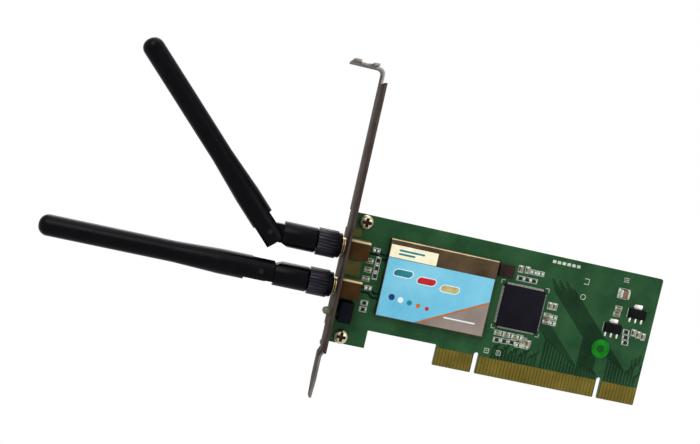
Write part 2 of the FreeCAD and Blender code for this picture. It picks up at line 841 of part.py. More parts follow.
def make_nut(side):
    body = new_body(side + "_coupling_nut")
    thread = "barrel_radius + nut_thread_clearance"
    turned = revolve(body, [
        ("nut_front", thread),
        ("nut_front", "nut_nose_radius - nut_chamfer"),
        ("nut_front - nut_chamfer", "nut_nose_radius"),
        ("nut_front - nut_nose_length", "nut_nose_radius"),
        ("nut_front - nut_nose_length", "nut_radius"),
        ("nut_back", "nut_radius"),
        ("nut_back", "plug_neck_radius + running_clearance"),
        ("nut_floor", "plug_neck_radius + running_clearance"),
        ("nut_floor", thread),
    ])
    groove = [
        ("0 - knurl_half_width", "nut_radius + knurl_overcut"),
        ("0", "nut_radius - knurl_depth"),
        ("knurl_half_width", "nut_radius + knurl_overcut"),
    ]
    sketch = outline(body, "YZ_Plane", [groove], "nut_front - nut_nose_length + spare / 2")
    cutter = feature(body, "Pocket", sketch, "nut_length - nut_nose_length + spare")
    ring = body.newObject("PartDesign::PolarPattern", "knurl")
    ring.Originals = [cutter]
    ring.Axis = (turned.Profile[0], ["H_Axis"])
    ring.Angle = 360
    ring.setExpression("Occurrences", link("knurl_count"))
    body.Tip = ring
    place(keep(body, side + "_coupling_nut"), "board_left", "jack_axis", side + "_jack")


def turn_over(item, side):
    """The lower antenna hangs its hinge the other way up."""
    if side == "lower":
        item.Placement = FreeCAD.Placement(FreeCAD.Vector(), FreeCAD.Rotation(FreeCAD.Vector(1, 0, 0), 180))
    return place(item, "board_left + pivot", "jack_axis", side + "_jack")


def make_base(side):
    """Swivel base, drawn about the hinge pivot, which bends towards +Z."""
    body = new_body(side + "_swivel_base")
    revolve(body, [
        ("pivot_reach", "0"),
        ("pivot_reach", "base_radius"),
        ("base_end - pivot - base_chamfer", "base_radius"),
        ("base_end - pivot", "base_radius - base_chamfer"),
        ("base_end - pivot", "plug_neck_radius + running_clearance"),
        ("neck_end - pivot + plug_end_gap", "plug_neck_radius + running_clearance"),
        ("neck_end - pivot + plug_end_gap", "plug_collar_radius + running_clearance"),
        ("collar_end - pivot - plug_end_gap", "plug_collar_radius + running_clearance"),
        ("collar_end - pivot - plug_end_gap", "0"),
    ])
    blade = rectangle("0", "0 - tongue_radius", "pivot_reach + spare / 2", "tongue_radius")
    feature(body, "Pad", outline(body, "XZ_Plane", [blade]), "tongue_thick", "Symmetric")
    knuckle = circles(body, "XZ_Plane", [("0", "0", "tongue_radius")])
    feature(body, "Pad", knuckle, "tongue_thick", "Symmetric")
    slope = [
        ("pivot_reach", "base_slope_depth - base_radius"),
        ("pivot_reach + base_slope", "0 - base_radius"),
        ("pivot_reach + base_slope", "0 - base_radius - spare"),
        ("pivot_reach", "0 - base_radius - spare"),
    ]
    bore_through(body, outline(body, "XZ_Plane", [slope]))
    bore_through(body, circles(body, "XZ_Plane", [("0", "0", "hinge_pin_radius + seat_clearance")]))
    turn_over(keep(body, side + "_swivel_base"), side)

    half = "(whip_root_radius - hinge_pin_recess)"
    pin = rod(side + "_hinge_pin", (0, 1, 0), "hinge_pin_radius", f"2 * {half}")
    place(pin, "board_left + pivot", f"jack_axis - {half}", side + "_jack")
    keep(pin, side + "_hinge_pin")


def tilt(item, side):
    """Turn a whip piece about the hinge pivot to the angle at which it rests."""
    turn = FreeCAD.Rotation(FreeCAD.Vector(0, 1, 0), 1)
    item.Placement = FreeCAD.Placement(FreeCAD.Vector(), turn)
    item.setExpression("Placement.Rotation.Angle", link(f"{side}_tilt"))
    return place(item, "board_left + pivot", "jack_axis", side + "_jack")


def make_whip(side):
    """Moulded whip, drawn straight along -X from the hinge pivot, bending towards its +Z side."""
    body = new_body(side + "_whip")
    inner = "+" if side == "upper" else "-"
    revolve(body, [
        ("tail", "0"),
        ("tail", "whip_root_radius"),
        ("0 - whip_flare_start", "whip_root_radius"),
        ("0 - whip_flare_end", "whip_waist_radius"),
        ("0 - whip_length", "whip_waist_radius"),
        ("0 - whip_length", "0"),
    ])
    tip = find_edges(
        body.Shape,
        lambda edge, middle: near(middle.x, "0 - whip_length") and edge.Curve.TypeId == "Part::GeomCircle")
    dress(body, "Fillet", tip, "whip_tip_round")
    flat = "(whip_root_radius - cheek_relief)"
    relief = rectangle("0 - relief_reach", f"0 {inner} {flat}", "tail + spare",
                       f"0 {inner} (whip_root_radius + spare)")
    bore_through(body, outline(body, "XZ_Plane", [relief]))

    def cheek_corner(edge, middle):
        return straight(edge, 1) and near(middle.x, "tail") and near(middle.z, f"0 {inner} {flat}")

    dress(body, "Fillet", find_edges(body.Shape, cheek_corner), "cheek_round")
    slot = rectangle("0 - slot_end", "0 - slot_width / 2", "tail + spare", "slot_width / 2")
    bore_through(body, outline(body, "XY_Plane", [slot]))
    hollow = circles(body, "YZ_Plane", [("0", "0", "whip_bore_radius")], "0")
    feature(body, "Pocket", hollow, "whip_bore_reach")
    bore_through(body, circles(body, "XZ_Plane", [("0", "0", "hinge_pin_radius + running_clearance")]))
    tilt(keep(body, side + "_whip"), side)

    radiator = new_body(side + "_radiator")
    revolve(radiator, [
        ("0 - slot_end - radiator_gap", "0"),
        ("0 - slot_end - radiator_gap", "coax_radius"),
        ("0 - coax_reach", "coax_radius"),
        ("0 - coax_reach", "whip_bore_radius - radiator_gap"),
        ("0 - sleeve_reach", "whip_bore_radius - radiator_gap"),
        ("0 - sleeve_reach", "whisker_radius"),
        ("0 - whisker_reach", "whisker_radius"),
        ("0 - whisker_reach", "0"),
    ])
    tilt(keep(radiator, side + "_radiator"), side)


# Parts soldered to the board

def make_shield():
    body = new_body("radio_shield")
    flank = rectangle("0", "0", "shield_length", "shield_height")
    feature(body, "Pad", outline(body, "XZ_Plane", [flank]), "shield_depth")
    rim = find_edges(body.Shape, lambda edge, middle: near(middle.y, "0 - shield_depth") or straight(edge, 1))
    dress(body, "Fillet", rim, "shield_round")
    wall = "shield_wall"
    hollow = rectangle(wall, wall, f"shield_length - {wall}", f"shield_height - {wall}")
    feature(body, "Pocket", outline(body, "XZ_Plane", [hollow]), f"shield_depth - {wall}", back_to_front=True)
    place(keep(body, "radio_shield"), "shield_x", "face", "shield_low")

    middle_x = "shield_x + shield_length / 2"
    middle_z = "shield_low + shield_height / 2"
    keep(slab("radio_chip", f"{middle_x} + shield_length / 6", middle_z, "radio_size", "radio_size",
              "face", "radio_thick", "chip_bevel / 2"), "radio_chip")
    amplifiers = []
    for side in ("+", "-"):
        amplifiers.append(slab("amplifier", f"{middle_x} - shield_length / 4",
                               f"{middle_z} {side} amplifier_spacing / 2", "amplifier_size", "amplifier_size",
                               "face", "amplifier_thick", "chip_bevel / 2"))
    keep(group("amplifier_chips", amplifiers), "amplifier_chips")
    keep(slab("radio_crystal", f"{middle_x} - shield_length / 12", middle_z, "shield_crystal_length",
              "shield_crystal_height", "face", "shield_crystal_thick", "chip_bevel / 2"), "radio_crystal")


def make_labels():
    skin = "shield_face - label_skin"
    field = box("colour_label", "shield_x + label_margin", skin, "shield_low + label_margin",
                "shield_length - 2 * label_margin", "label_skin", "label_height")
    keep(field, "colour_label")
    strip = box("paper_strip", "shield_x + label_margin", skin, "shield_top - strip_drop - strip_height",
                "strip_length", "label_skin", "strip_height")
    keep(strip, "paper_strip")
    dot = rod("test_dot", (0, -1, 0), "dot_radius", "label_skin",
              "board_right - dot_inset", "face", "dot_rise")
    keep(dot, "test_dot")


def lead_profile():
    """Lead that comes straight out of the moulding and slopes to the board, as (reach, height) corners."""
    thick = size("lead_thick")
    start = size("chip_size / 2")
    end = size("lead_span / 2")
    knee = end - size("lead_foot")
    top = size("chip_standoff + chip_thick / 2")
    return [
        (start, top), (knee, top), (end, thick), (end, 0), (knee - thick, top - thick), (start, top - thick),
    ]


def make_main_chip():
    keep(slab("main_chip", "chip_x", "chip_rise", "chip_size", "chip_size", "face - chip_standoff",
              "chip_thick"), "main_chip")
    width = size("lead_width")
    corners = [FreeCAD.Vector(reach, -height, -width / 2) for reach, height in lead_profile()]
    face = Part.Face(Part.makePolygon(corners + corners[:1]))
    lead = face.extrude(FreeCAD.Vector(0, 0, width))
    count = int(size("lead_count"))
    middle = (count - 1) / 2
    leads = []
    for quarter in range(4):
        for place_number in range(count):
            copy = lead.copy()
            copy.translate(FreeCAD.Vector(0, 0, (place_number - middle) * size("lead_pitch")))
            copy.rotate(FreeCAD.Vector(), FreeCAD.Vector(0, 1, 0), 90 * quarter)
            leads.append(copy)
    item = doc.addObject("Part::Feature", "main_chip_leads")
    item.Shape = Part.makeCompound(leads)
    place(keep(item, "main_chip_leads"), "chip_x", "face", "chip_rise")


def make_regulators():
    bodies = []
    metal = []
    for x, z in (("right_regulator", "right_regulator_rise"), ("left_regulator", "left_regulator_rise")):
        bodies.append(slab("regulator", x, z, "regulator_length", "regulator_height",
                           "face", "regulator_thick"))
        seat = "face - regulator_lead_thick"
        top = f"{z} + regulator_height / 2"
        metal.append(box("regulator_tab", f"{x} - regulator_tab_width / 2", seat, top,
                         "regulator_tab_width", "regulator_lead_thick", "regulator_lead_reach"))
        for step in ("- 1", "+ 0", "+ 1"):
            left = f"{x} {step} * regulator_lead_pitch - regulator_lead_width / 2"
            low = f"{z} - regulator_height / 2 - regulator_lead_reach"
            metal.append(box("regulator_lead", left, seat, low, "regulator_lead_width",
                             "regulator_lead_thick", "regulator_lead_reach"))
    keep(group("regulators", bodies), "regulators")
    keep(group("regulator_leads", metal), "regulator_leads")


def make_small_parts():
    for name, rows, thick in (("ceramic_capacitors", CAPACITOR_ROWS, "capacitor_thick"),
                              ("chip_resistors", RESISTOR_ROWS, "resistor_thick")):
        items = []
        for x, z, count, step_x, step_z, upright in rows:
            long_x, long_z = ("small_height", "small_length") if upright else ("small_length", "small_height")
            for number in range(round(count)):
                items.append(box(name + "_piece", f"{x} + {number * step_x} - {long_x} / 2",
                                 f"face - {thick}", f"{z} + {number * step_z} - {long_z} / 2",
                                 long_x, thick, long_z))
        keep(group(name, items), name)
    keep(slab("bulk_capacitor", "board_right - bulk_inset", "board_height - bulk_drop", "bulk_length",
              "bulk_height", "face", "bulk_thick"), "bulk_capacitor")
    keep(slab("clock_crystal", "shield_right + crystal_gap + crystal_length / 2",
              "shield_top - crystal_drop - crystal_height / 2", "crystal_length", "crystal_height",
              "face", "crystal_thick"), "clock_crystal")


def check_document():
    """Stop if any object failed or any sub-part is empty or broken."""
    doc.recompute()
    for item in doc.Objects:
        if "Invalid" in item.State or "Error" in item.State:
            raise RuntimeError(f"{item.Name} failed: {item.State}")
    for item in nodes:
        if item.Shape.isNull() or not item.Shape.isValid() or not item.Shape.Solids:
            raise RuntimeError(f"{item.Label} has no sound solid")


def write_parts():
    os.makedirs("parts", exist_ok=True)
    for item in nodes:
        item.Shape.exportStep(f"parts/{item.Label}.step")


fill_sheet()
make_board()
make_contacts()
make_bracket()
make_screws()
for side in ("upper", "lower"):
    make_jack(side)
    make_plug(side)
    make_nut(side)
    make_base(side)
    make_whip(side)
make_lamp()
make_shield()
make_labels()
make_main_chip()
make_regulators()
make_small_parts()
check_document()
write_parts()
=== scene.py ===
import json
import math
import random

import bmesh
import bpy
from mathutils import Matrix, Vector


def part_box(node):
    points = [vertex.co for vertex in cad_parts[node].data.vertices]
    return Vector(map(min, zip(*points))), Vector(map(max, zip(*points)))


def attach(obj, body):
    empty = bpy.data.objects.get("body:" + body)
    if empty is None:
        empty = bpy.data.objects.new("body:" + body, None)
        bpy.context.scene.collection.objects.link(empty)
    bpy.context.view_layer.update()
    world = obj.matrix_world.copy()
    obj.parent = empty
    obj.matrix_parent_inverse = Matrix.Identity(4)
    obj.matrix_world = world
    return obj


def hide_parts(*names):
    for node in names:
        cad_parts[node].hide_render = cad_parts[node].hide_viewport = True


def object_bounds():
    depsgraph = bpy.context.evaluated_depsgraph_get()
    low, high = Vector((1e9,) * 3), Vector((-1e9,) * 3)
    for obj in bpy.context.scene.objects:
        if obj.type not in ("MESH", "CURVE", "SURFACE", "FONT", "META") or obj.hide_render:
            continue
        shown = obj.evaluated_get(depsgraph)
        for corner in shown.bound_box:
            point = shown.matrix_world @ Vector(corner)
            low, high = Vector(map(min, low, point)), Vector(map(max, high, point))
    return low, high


# Wireless network card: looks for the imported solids.
# The board stands upright: +X runs away from the bracket, components face -Y, contacts are at the bottom.

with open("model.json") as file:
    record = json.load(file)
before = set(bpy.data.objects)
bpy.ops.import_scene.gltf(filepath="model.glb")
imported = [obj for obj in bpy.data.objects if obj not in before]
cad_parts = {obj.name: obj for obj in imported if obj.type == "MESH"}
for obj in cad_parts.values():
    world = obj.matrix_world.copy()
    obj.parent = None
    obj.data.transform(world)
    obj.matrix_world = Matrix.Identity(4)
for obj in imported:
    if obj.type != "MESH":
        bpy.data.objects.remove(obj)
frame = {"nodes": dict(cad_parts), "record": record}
nodes = frame["nodes"]
cad_box = [list(corner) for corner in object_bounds()]
record = frame["record"]
body_of_node = {node: body for body, members in record["behaviour"]["bodies"].items() for node in members}
slot_of = {part["node"]: part["material_slot"] for part in record["subparts"]}

MM = 0.001
SIDES = ("upper", "lower")
CHIP_PARTS = ("ceramic_capacitors", "chip_resistors", "bulk_capacitor")
chance = random.Random(7)

# Limits for meshes: points closer than MERGE are one, edges that turn by more than SHARP are rounded,
# faces that turn by less than SMOOTH shade as one and by less than FLAT become one. A face looks along an
# axis if that share of its normal does, roughly or squarely.
MERGE = 0.001 * MM
SHARP = math.radians(40)
SMOOTH = math.radians(35)
FLAT = math.radians(0.5)
ROUGHLY = 0.6
SQUARELY = 0.9

# Places taken from the solids, in millimetres
board_low, board_high = [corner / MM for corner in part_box("board")]
chip_low, chip_high = [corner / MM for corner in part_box("main_chip_leads")]
shield_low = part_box("radio_shield")[0] / MM
contact_low, contact_high = [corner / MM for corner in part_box("front_contacts")]
FRONT = board_low.y
BACK = board_high.y
CHIP_MIDDLE = (chip_low + chip_high) / 2
FINGER_TOP = contact_high.z

# Sizes in millimetres, and places counted along the contact edge
FINGER_PITCH = 1.27
FINGER_HALF = 0.51
FINGER_PLACES = 62
KEY_PLACES = (11, 12, 49, 50)
TAB_HEIGHT = 3.0
TONGUE_TOP = -3.5
# The jacks' top band of this depth is painted light.
JACK_LIT_TOP = 0.7
JACK_CLEAR = 0.2
PIN_RADIUS = 0.45
LEG_MIDDLE = 0.8
TRACK_HEIGHT = 0.03
GAP_HEIGHT = 0.012
PRINT_HEIGHT = 0.03
VIA_RADIUS = 0.34
VIA_SPACING = 0.75
SPARE_HALF_LENGTH = 1.25
SPARE_HALF_WIDTH = 0.8
OUTLINE_ROOM = 0.45
BAR_COUNT = 6
BAR_ROW_START = -4.0
BAR_ROW_LENGTH = 11.4
BAR_LOW = 46.4
BAR_HIGH = 47.5


# Modelling helpers

def only(piece):
    """Select one object alone and make it the active one."""
    bpy.ops.object.select_all(action="DESELECT")
    piece.select_set(True)
    bpy.context.view_layer.objects.active = piece


def settle(piece):
    """Put a piece's place, turn and size into its mesh."""
    only(piece)
    bpy.ops.object.transform_apply(location=True, rotation=True, scale=True)
    return piece


def block(name, low, high):
    """A box between two corners in millimetres, as a start for shaping."""
    bpy.ops.object.select_all(action="DESELECT")
    low, high = Vector(low) * MM, Vector(high) * MM
    bpy.ops.mesh.primitive_cube_add(size=1, location=(low + high) / 2)
    piece = bpy.context.object
    piece.name = name
    piece.scale = high - low
    return settle(piece)


def begin(name):
    """An empty mesh in edit mode, for primitives that are added and shaped together."""
    bpy.ops.object.select_all(action="DESELECT")
    bpy.ops.mesh.primitive_plane_add(size=MM)
    piece = bpy.context.object
    piece.name = name
    bpy.ops.object.mode_set(mode="EDIT")
    bpy.ops.mesh.select_all(action="SELECT")
    bpy.ops.mesh.delete(type="VERT")
    return piece


def pick_faces(piece, test):
    """In edit mode, select the faces whose middle, in millimetres, and normal pass a test."""
    bpy.ops.mesh.select_all(action="DESELECT")
    bpy.ops.mesh.select_mode(type="FACE")
    shape = bmesh.from_edit_mesh(piece.data)
    for face in shape.faces:
        face.select_set(test(face.calc_center_median() / MM, face.normal))
    shape.select_flush_mode()
    bmesh.update_edit_mesh(piece.data)


def leave_edit():
    bpy.ops.object.mode_set(mode="OBJECT")


def change(piece, kind, **settings):
    """Add a modifier, set it and apply it."""
    only(piece)
    modifier = piece.modifiers.new(kind.lower(), kind)
    for name, value in settings.items():
        setattr(modifier, name, value)
    bpy.ops.object.modifier_apply(modifier=modifier.name)


def clear_slivers(piece):
    """Merge points that meet and take out faces without area."""
    only(piece)
    bpy.ops.object.mode_set(mode="EDIT")
    bpy.ops.mesh.select_all(action="SELECT")
    bpy.ops.mesh.remove_doubles(threshold=MERGE)
    bpy.ops.mesh.dissolve_degenerate(threshold=MERGE)
    bpy.ops.mesh.delete_loose()
    leave_edit()


def soften(piece, width, segments=2):
    """Round the sharp edges by a width in millimetres and shade the rest smooth."""
    if width:
        change(piece, "BEVEL", width=width * MM, segments=segments, limit_method="ANGLE",
               angle_limit=SHARP, use_clamp_overlap=True)
    only(piece)
    bpy.ops.object.shade_smooth_by_angle(angle=SMOOTH)


def dress(piece, body, finishes, stands_for=()):
    """Give a piece its finishes and body, and hide the solids it stands for."""
    if not isinstance(finishes, (list, tuple)):
        finishes = [finishes]
    kept = [polygon.material_index for polygon in piece.data.polygons]
    piece.data.materials.clear()
    for finish in finishes:
        piece.data.materials.append(finish)
    piece.data.polygons.foreach_set("material_index", kept)
    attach(piece, body)
    if stands_for:
        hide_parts(*stands_for)
    return piece


def refine(node, edge_round, finish):
    """A merged copy of a solid, with its sharp edges rounded, that stands for the solid."""
    piece = bpy.data.objects.new(node + "_finished", nodes[node].data.copy())
    bpy.context.scene.collection.objects.link(piece)
    only(piece)
    bpy.ops.mesh.customdata_custom_splitnormals_clear()
    bpy.ops.object.mode_set(mode="EDIT")
    bpy.ops.mesh.select_all(action="SELECT")
    bpy.ops.mesh.remove_doubles(threshold=MERGE)
    bpy.ops.mesh.dissolve_limited(angle_limit=FLAT)
    leave_edit()
    soften(piece, edge_round)
    return dress(piece, body_of_node[node], finish, [node])


def slice_piece(node, point, normal):
    """Cut the faces of a finished piece along a plane through a point in millimetres."""
    piece = bpy.data.objects[node + "_finished"]
    only(piece)
    bpy.ops.object.mode_set(mode="EDIT")
    bpy.ops.mesh.select_all(action="SELECT")
    bpy.ops.mesh.bisect(plane_co=Vector(point) * MM, plane_no=normal)
    leave_edit()
    soften(piece, 0)


def paint_faces_light_and_shade(node, finish, test):
    """Another material, for painted light and shade, on a finished piece's faces whose middle, in
    millimetres, and normal pass a test.
    """
    piece = bpy.data.objects[node + "_finished"]
    piece.data.materials.append(finish)
    for polygon in piece.data.polygons:
        if test(polygon.center / MM, polygon.normal):
            polygon.material_index = len(piece.data.materials) - 1


def solids_of(node):
    """The lowest and highest corners, in millimetres, of each separate solid in a node."""
    shape = bmesh.new()
    shape.from_mesh(nodes[node].data)
    bmesh.ops.remove_doubles(shape, verts=shape.verts, dist=MERGE)
    left = set(shape.verts)
    boxes = []
    while left:
        reached = [left.pop()]
        for vertex in reached:
            for edge in vertex.link_edges:
                other = edge.other_vert(vertex)
                if other in left:
                    left.remove(other)
                    reached.append(other)
        places = [vertex.co / MM for vertex in reached]
        boxes.append((Vector(map(min, *places)), Vector(map(max, *places))))
    shape.free()
    return sorted(boxes, key=lambda box: tuple(box[0]))


# Finishes

def seen(red, green, blue):
    """A screen colour, 0 to 255, as the linear colour that a shader takes."""
    shares = [value / 255 for value in (red, green, blue)]
    return [share / 12.92 if share <= 0.04045 else ((share + 0.055) / 1.055) ** 2.4
            for share in shares] + [1.0]


class Finish:
    """A node material with its Principled shader and short ways to add nodes."""

    def __init__(self, name, **sockets):
        self.material = bpy.data.materials.new(name)
        self.material.use_nodes = True
        self.tree = self.material.node_tree
        self.shader = self.tree.nodes["Principled BSDF"]
        for socket, value in sockets.items():
            self.shader.inputs[socket.replace("_", " ")].default_value = value
        self.place = self.add("TexCoord").outputs["Object"]

    def add(self, kind, links=(), **settings):
        """Add a node, with settings, and inputs as (name or number, value or output) pairs."""
        made = self.tree.nodes.new("ShaderNode" + kind)
        for name, value in settings.items():
            setattr(made, name, value)
        for socket, value in links:
            if isinstance(value, bpy.types.NodeSocket):
                self.tree.links.new(value, made.inputs[socket])
            else:
                made.inputs[socket].default_value = value
        return made

    def stretch(self, x, y, z):
        """Object coordinates scaled along each axis."""
        return self.add("Mapping", [("Vector", self.place), ("Scale", (x, y, z))]).outputs["Vector"]

    def noise(self, scale, detail, place=None):
        links = [("Vector", place or self.place), ("Scale", scale), ("Detail", detail)]
        return self.add("TexNoise", links).outputs["Fac"]

    def spread(self, value, low, high, to_low=0.0, to_high=1.0):
        """Map a value from one range to another, held at the ends."""
        links = [("Value", value), ("From Min", low), ("From Max", high),
                 ("To Min", to_low), ("To Max", to_high)]
        return self.add("MapRange", links).outputs["Result"]

    def maths(self, operation, first, second=0.0):
        return self.add("Math", [(0, first), (1, second)], operation=operation).outputs["Value"]

    def mix(self, amount, first, second, way="MIX"):
        links = [(0, amount), (6, first), (7, second)]
        return self.add("Mix", links, data_type="RGBA", blend_type=way).outputs[2]

    def axes(self):
        split = self.add("SeparateXYZ", [("Vector", self.place)])
        return split.outputs["X"], split.outputs["Y"], split.outputs["Z"]

    def colour(self, output):
        self.tree.links.new(output, self.shader.inputs["Base Color"])

    def roughness(self, value, low, high):
        self.tree.links.new(self.spread(value, 0.25, 0.75, low, high), self.shader.inputs["Roughness"])

    def bump(self, height, depth, strength):
        """Raise the surface by a height pattern, with a depth in millimetres."""
        links = [("Height", height), ("Distance", depth * MM), ("Strength", strength)]
        self.tree.links.new(self.add("Bump", links).outputs["Normal"], self.shader.inputs["Normal"])


def solder_mask(name, dark, light, fibre=None):
    """Green lacquer over glass cloth: cloudy colour, a faint weave, and bare fibre on the cut edges."""
    finish = Finish(name, Specular_IOR_Level=0.08)
    clouds = finish.noise(90, 4)
    speckle = finish.noise(2600, 2)
    green = finish.mix(finish.spread(clouds, 0.35, 0.65), dark, light)
    green = finish.mix(finish.spread(speckle, 0.4, 0.75, 0, 0.25), green, light)
    if fibre:
        depth = finish.maths("ABSOLUTE", finish.axes()[1])
        cut_edge = finish.spread(depth, (BACK - 0.08) * MM, (BACK - 0.02) * MM, 1, 0)
        layers = finish.noise(1, 2, finish.stretch(250, 9000, 250))
        bare = finish.mix(layers, fibre, seen(70, 78, 40))
        green = finish.mix(cut_edge, green, bare)
    finish.colour(green)
    weave = [("Vector", finish.place), ("Scale", 520), ("Distortion", 1.5)]
    across = finish.add("TexWave", weave).outputs["Fac"]
    along = finish.add("TexWave", weave, bands_direction="Z").outputs["Fac"]
    finish.bump(finish.maths("ADD", across, along), 0.01, 0.2)
    finish.roughness(clouds, 0.3, 0.46)
    return finish.material


def plated(name, dark, light, rough, drawn=(1, 1, 1), grain=1800, pits=0.006, metal=1.0,
           painted_shade_side=None, glance=1.0):
    """Plated metal: mottled tint, drawn lines along one axis and fine pits.

    painted_shade_side is a darker colour painted as shade, with the Y where it is full and the Y where it
    ends.
    glance is what is left of the reflection at a glancing angle.
    """
    finish = Finish(name, Metallic=metal, Specular_Tint=(glance, glance, glance, 1))
    lines = finish.noise(grain, 4, finish.stretch(*drawn))
    stain = finish.noise(160, 5)
    tint = finish.mix(finish.spread(stain, 0.3, 0.7), dark, light)
    tint = finish.mix(finish.spread(lines, 0.3, 0.8, 0, 0.35), tint, light)
    # Painted shade: the colour darkens towards near_y along Y.
    if painted_shade_side:
        painted_shade_tone, near_y, far_y = painted_shade_side
        tint = finish.mix(finish.spread(finish.axes()[1], near_y, far_y), painted_shade_tone, tint)
    finish.colour(tint)
    wear = finish.maths("MULTIPLY", finish.maths("ADD", lines, stain), 0.5)
    finish.roughness(wear, rough - 0.1, rough + 0.12)
    finish.bump(lines, pits, 0.35)
    return finish.material


def moulded(name, dark, light, rough, grain=5200, depth=0.012, **sockets):
    """Moulded plastic: spark-eroded grain, slight cloudiness and handling marks."""
    finish = Finish(name, **sockets)
    texture = finish.noise(grain, 2)
    marks = finish.noise(220, 6)
    finish.colour(finish.mix(finish.spread(marks, 0.35, 0.75), dark, light))
    wear = finish.maths("MULTIPLY", finish.maths("ADD", texture, marks), 0.5)
    finish.roughness(wear, rough - 0.08, rough + 0.1)
    finish.bump(texture, depth, 0.3)
    return finish.material


def paper(name, colour, shade, rough=0.6):
    """Printed or plain paper: fibres, slight mottling and a soft surface."""
    finish = Finish(name, Specular_IOR_Level=0.12)
    fibres = finish.noise(2400, 5, finish.stretch(0.5, 1, 1))
    mottle = finish.noise(300, 3)
    tone = finish.mix(finish.spread(mottle, 0.35, 0.7), colour, shade)
    finish.colour(finish.mix(finish.spread(fibres, 0.5, 0.8, 0, 0.3), tone, shade))
    finish.roughness(fibres, rough - 0.1, rough + 0.1)
    finish.bump(fibres, 0.008, 0.3)
    return finish.material


def label_fields():
    """Laminated label: a sky-blue field above a slanted warm grey one, with a printing screen over both."""
    finish = Finish("label_print", Specular_IOR_Level=0.15, Coat_Weight=0.1, Coat_Roughness=0.2)
    x, _, z = finish.axes()
    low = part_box("colour_label")[0]
    rise, grey_from, grey_full = 0.5, 7.0 * MM, 7.2 * MM
    slant = finish.maths("ADD", finish.maths("MULTIPLY", finish.maths("SUBTRACT", x, low.x), rise),
                         finish.maths("SUBTRACT", low.z, z))
    grey_side = finish.spread(slant, grey_from, grey_full)
    haze = finish.noise(70, 2)
    blue = finish.mix(finish.spread(haze, 0.3, 0.7), seen(102, 188, 218), seen(134, 208, 230))
    grey = finish.mix(finish.spread(haze, 0.3, 0.7), seen(128, 114, 106), seen(158, 144, 134))
    screen = finish.add("TexVoronoi", [("Vector", finish.place), ("Scale", 3600)]).outputs["Distance"]
    print_tone = finish.mix(grey_side, blue, grey)
    inked = finish.spread(screen, 0.2, 0.7, 0, 0.16)
    finish.colour(finish.mix(inked, print_tone, seen(60, 110, 160), "MULTIPLY"))
    finish.roughness(haze, 0.25, 0.4)
    finish.bump(finish.noise(1500, 2), 0.004, 0.2)
    return finish.material


def clear_lens():
    """Smoky, faintly green lamp lens with moulding swirls."""
    finish = Finish("lamp_lens", Transmission_Weight=0.35, IOR=1.5)
    swirl = finish.noise(900, 3)
    finish.colour(finish.mix(swirl, seen(122, 138, 104), seen(88, 104, 74)))
    finish.roughness(swirl, 0.12, 0.28)
    finish.bump(swirl, 0.01, 0.2)
    return finish.material


# Stretches that give the drawn lines their direction
DOWN_THE_FINGERS = (1, 1, 0.12)
UP_THE_BRACKET = (1, 1, 0.05)
ACROSS_THE_EDGE = (0.1, 1, 1)
ALONG_THE_CAN = (0.06, 1, 1)
ROUND_A_JACK = (0.2, 1, 1)
ROUND_A_NUT = (0.1, 1, 1)

mask_green = solder_mask("solder_mask", seen(25, 63, 36), seen(42, 82, 49), seen(128, 122, 66))
track_green = solder_mask("track_green", seen(21, 56, 33), seen(36, 75, 45))
gap_green = solder_mask("gap_green", seen(8, 30, 17), seen(15, 42, 24))
dark_hole = moulded("via_hole", seen(10, 26, 16), seen(18, 36, 24), 0.6)
finger_gold = plated("contact_gold", seen(96, 79, 29), seen(120, 101, 41), 0.42, DOWN_THE_FINGERS, 2600)
bare_pad = plated("bare_pad", seen(58, 54, 26), seen(86, 81, 44), 0.45, grain=2400)
solder = plated("solder_joint", seen(176, 174, 170), seen(222, 220, 214), 0.3, grain=1400, pits=0.02)

bracket_low, bracket_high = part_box("bracket")
# Painted shade: the bracket's steel darkens towards its low-Y edge.
nickel = plated("bracket_steel", seen(112, 104, 99), seen(148, 140, 135), 0.45, UP_THE_BRACKET, 1500,
                painted_shade_side=(seen(90, 81, 77), bracket_low.y, bracket_high.y), glance=0.2)
# Painted light: lighter copies of the steel for the tongue, and for the tab, the inner face and the edges
# that face high Y.
tongue_painted_light_nickel = plated("tongue_painted_light_steel", seen(98, 92, 88), seen(134, 128, 124), 0.42, UP_THE_BRACKET, 1500,
                       glance=0.22)
painted_light_nickel = plated("painted_light_steel", seen(116, 111, 108), seen(158, 153, 150), 0.4, UP_THE_BRACKET, 1500,
                       glance=0.3)
# Painted shade: a dark copy of the steel for the bracket's edges that face low Y.
painted_shade_edge = plated("painted_shade_edge", seen(50, 40, 37), seen(76, 65, 60), 0.45, ACROSS_THE_EDGE, 2200)
screw_plate = plated("screw_steel", seen(146, 138, 112), seen(204, 196, 166), 0.3)
# Painted shade: a dark copy of the plating for the cross recess.
recess_painted_shade = plated("recess_painted_shade", seen(30, 27, 20), seen(52, 47, 36), 0.5)

jack_gold = plated("jack_brass", seen(44, 28, 18), seen(68, 47, 25), 0.36, ROUND_A_JACK, 2200)
# Painted light: a lighter copy of the jack brass for the jacks' tops and rounded edges.
brass_painted_light = plated("brass_painted_light", seen(160, 144, 108), seen(196, 178, 138), 0.4, ROUND_A_JACK, 2200)
white_insulator = moulded("insulator_white", seen(226, 226, 220), seen(240, 240, 234), 0.45)
black_plate = plated("nut_black", seen(26, 25, 29), seen(46, 44, 50), 0.34, ROUND_A_NUT, 2600)
pin_steel = plated("pin_steel", seen(22, 22, 24), seen(40, 40, 42), 0.35)
antenna_black = moulded("antenna_black", seen(2, 2, 6), seen(6, 6, 11), 0.27, Specular_IOR_Level=0.06)
holder_black = moulded("holder_plastic", seen(10, 12, 18), seen(18, 20, 27), 0.4, Specular_IOR_Level=0.04)
lens_clear = clear_lens()

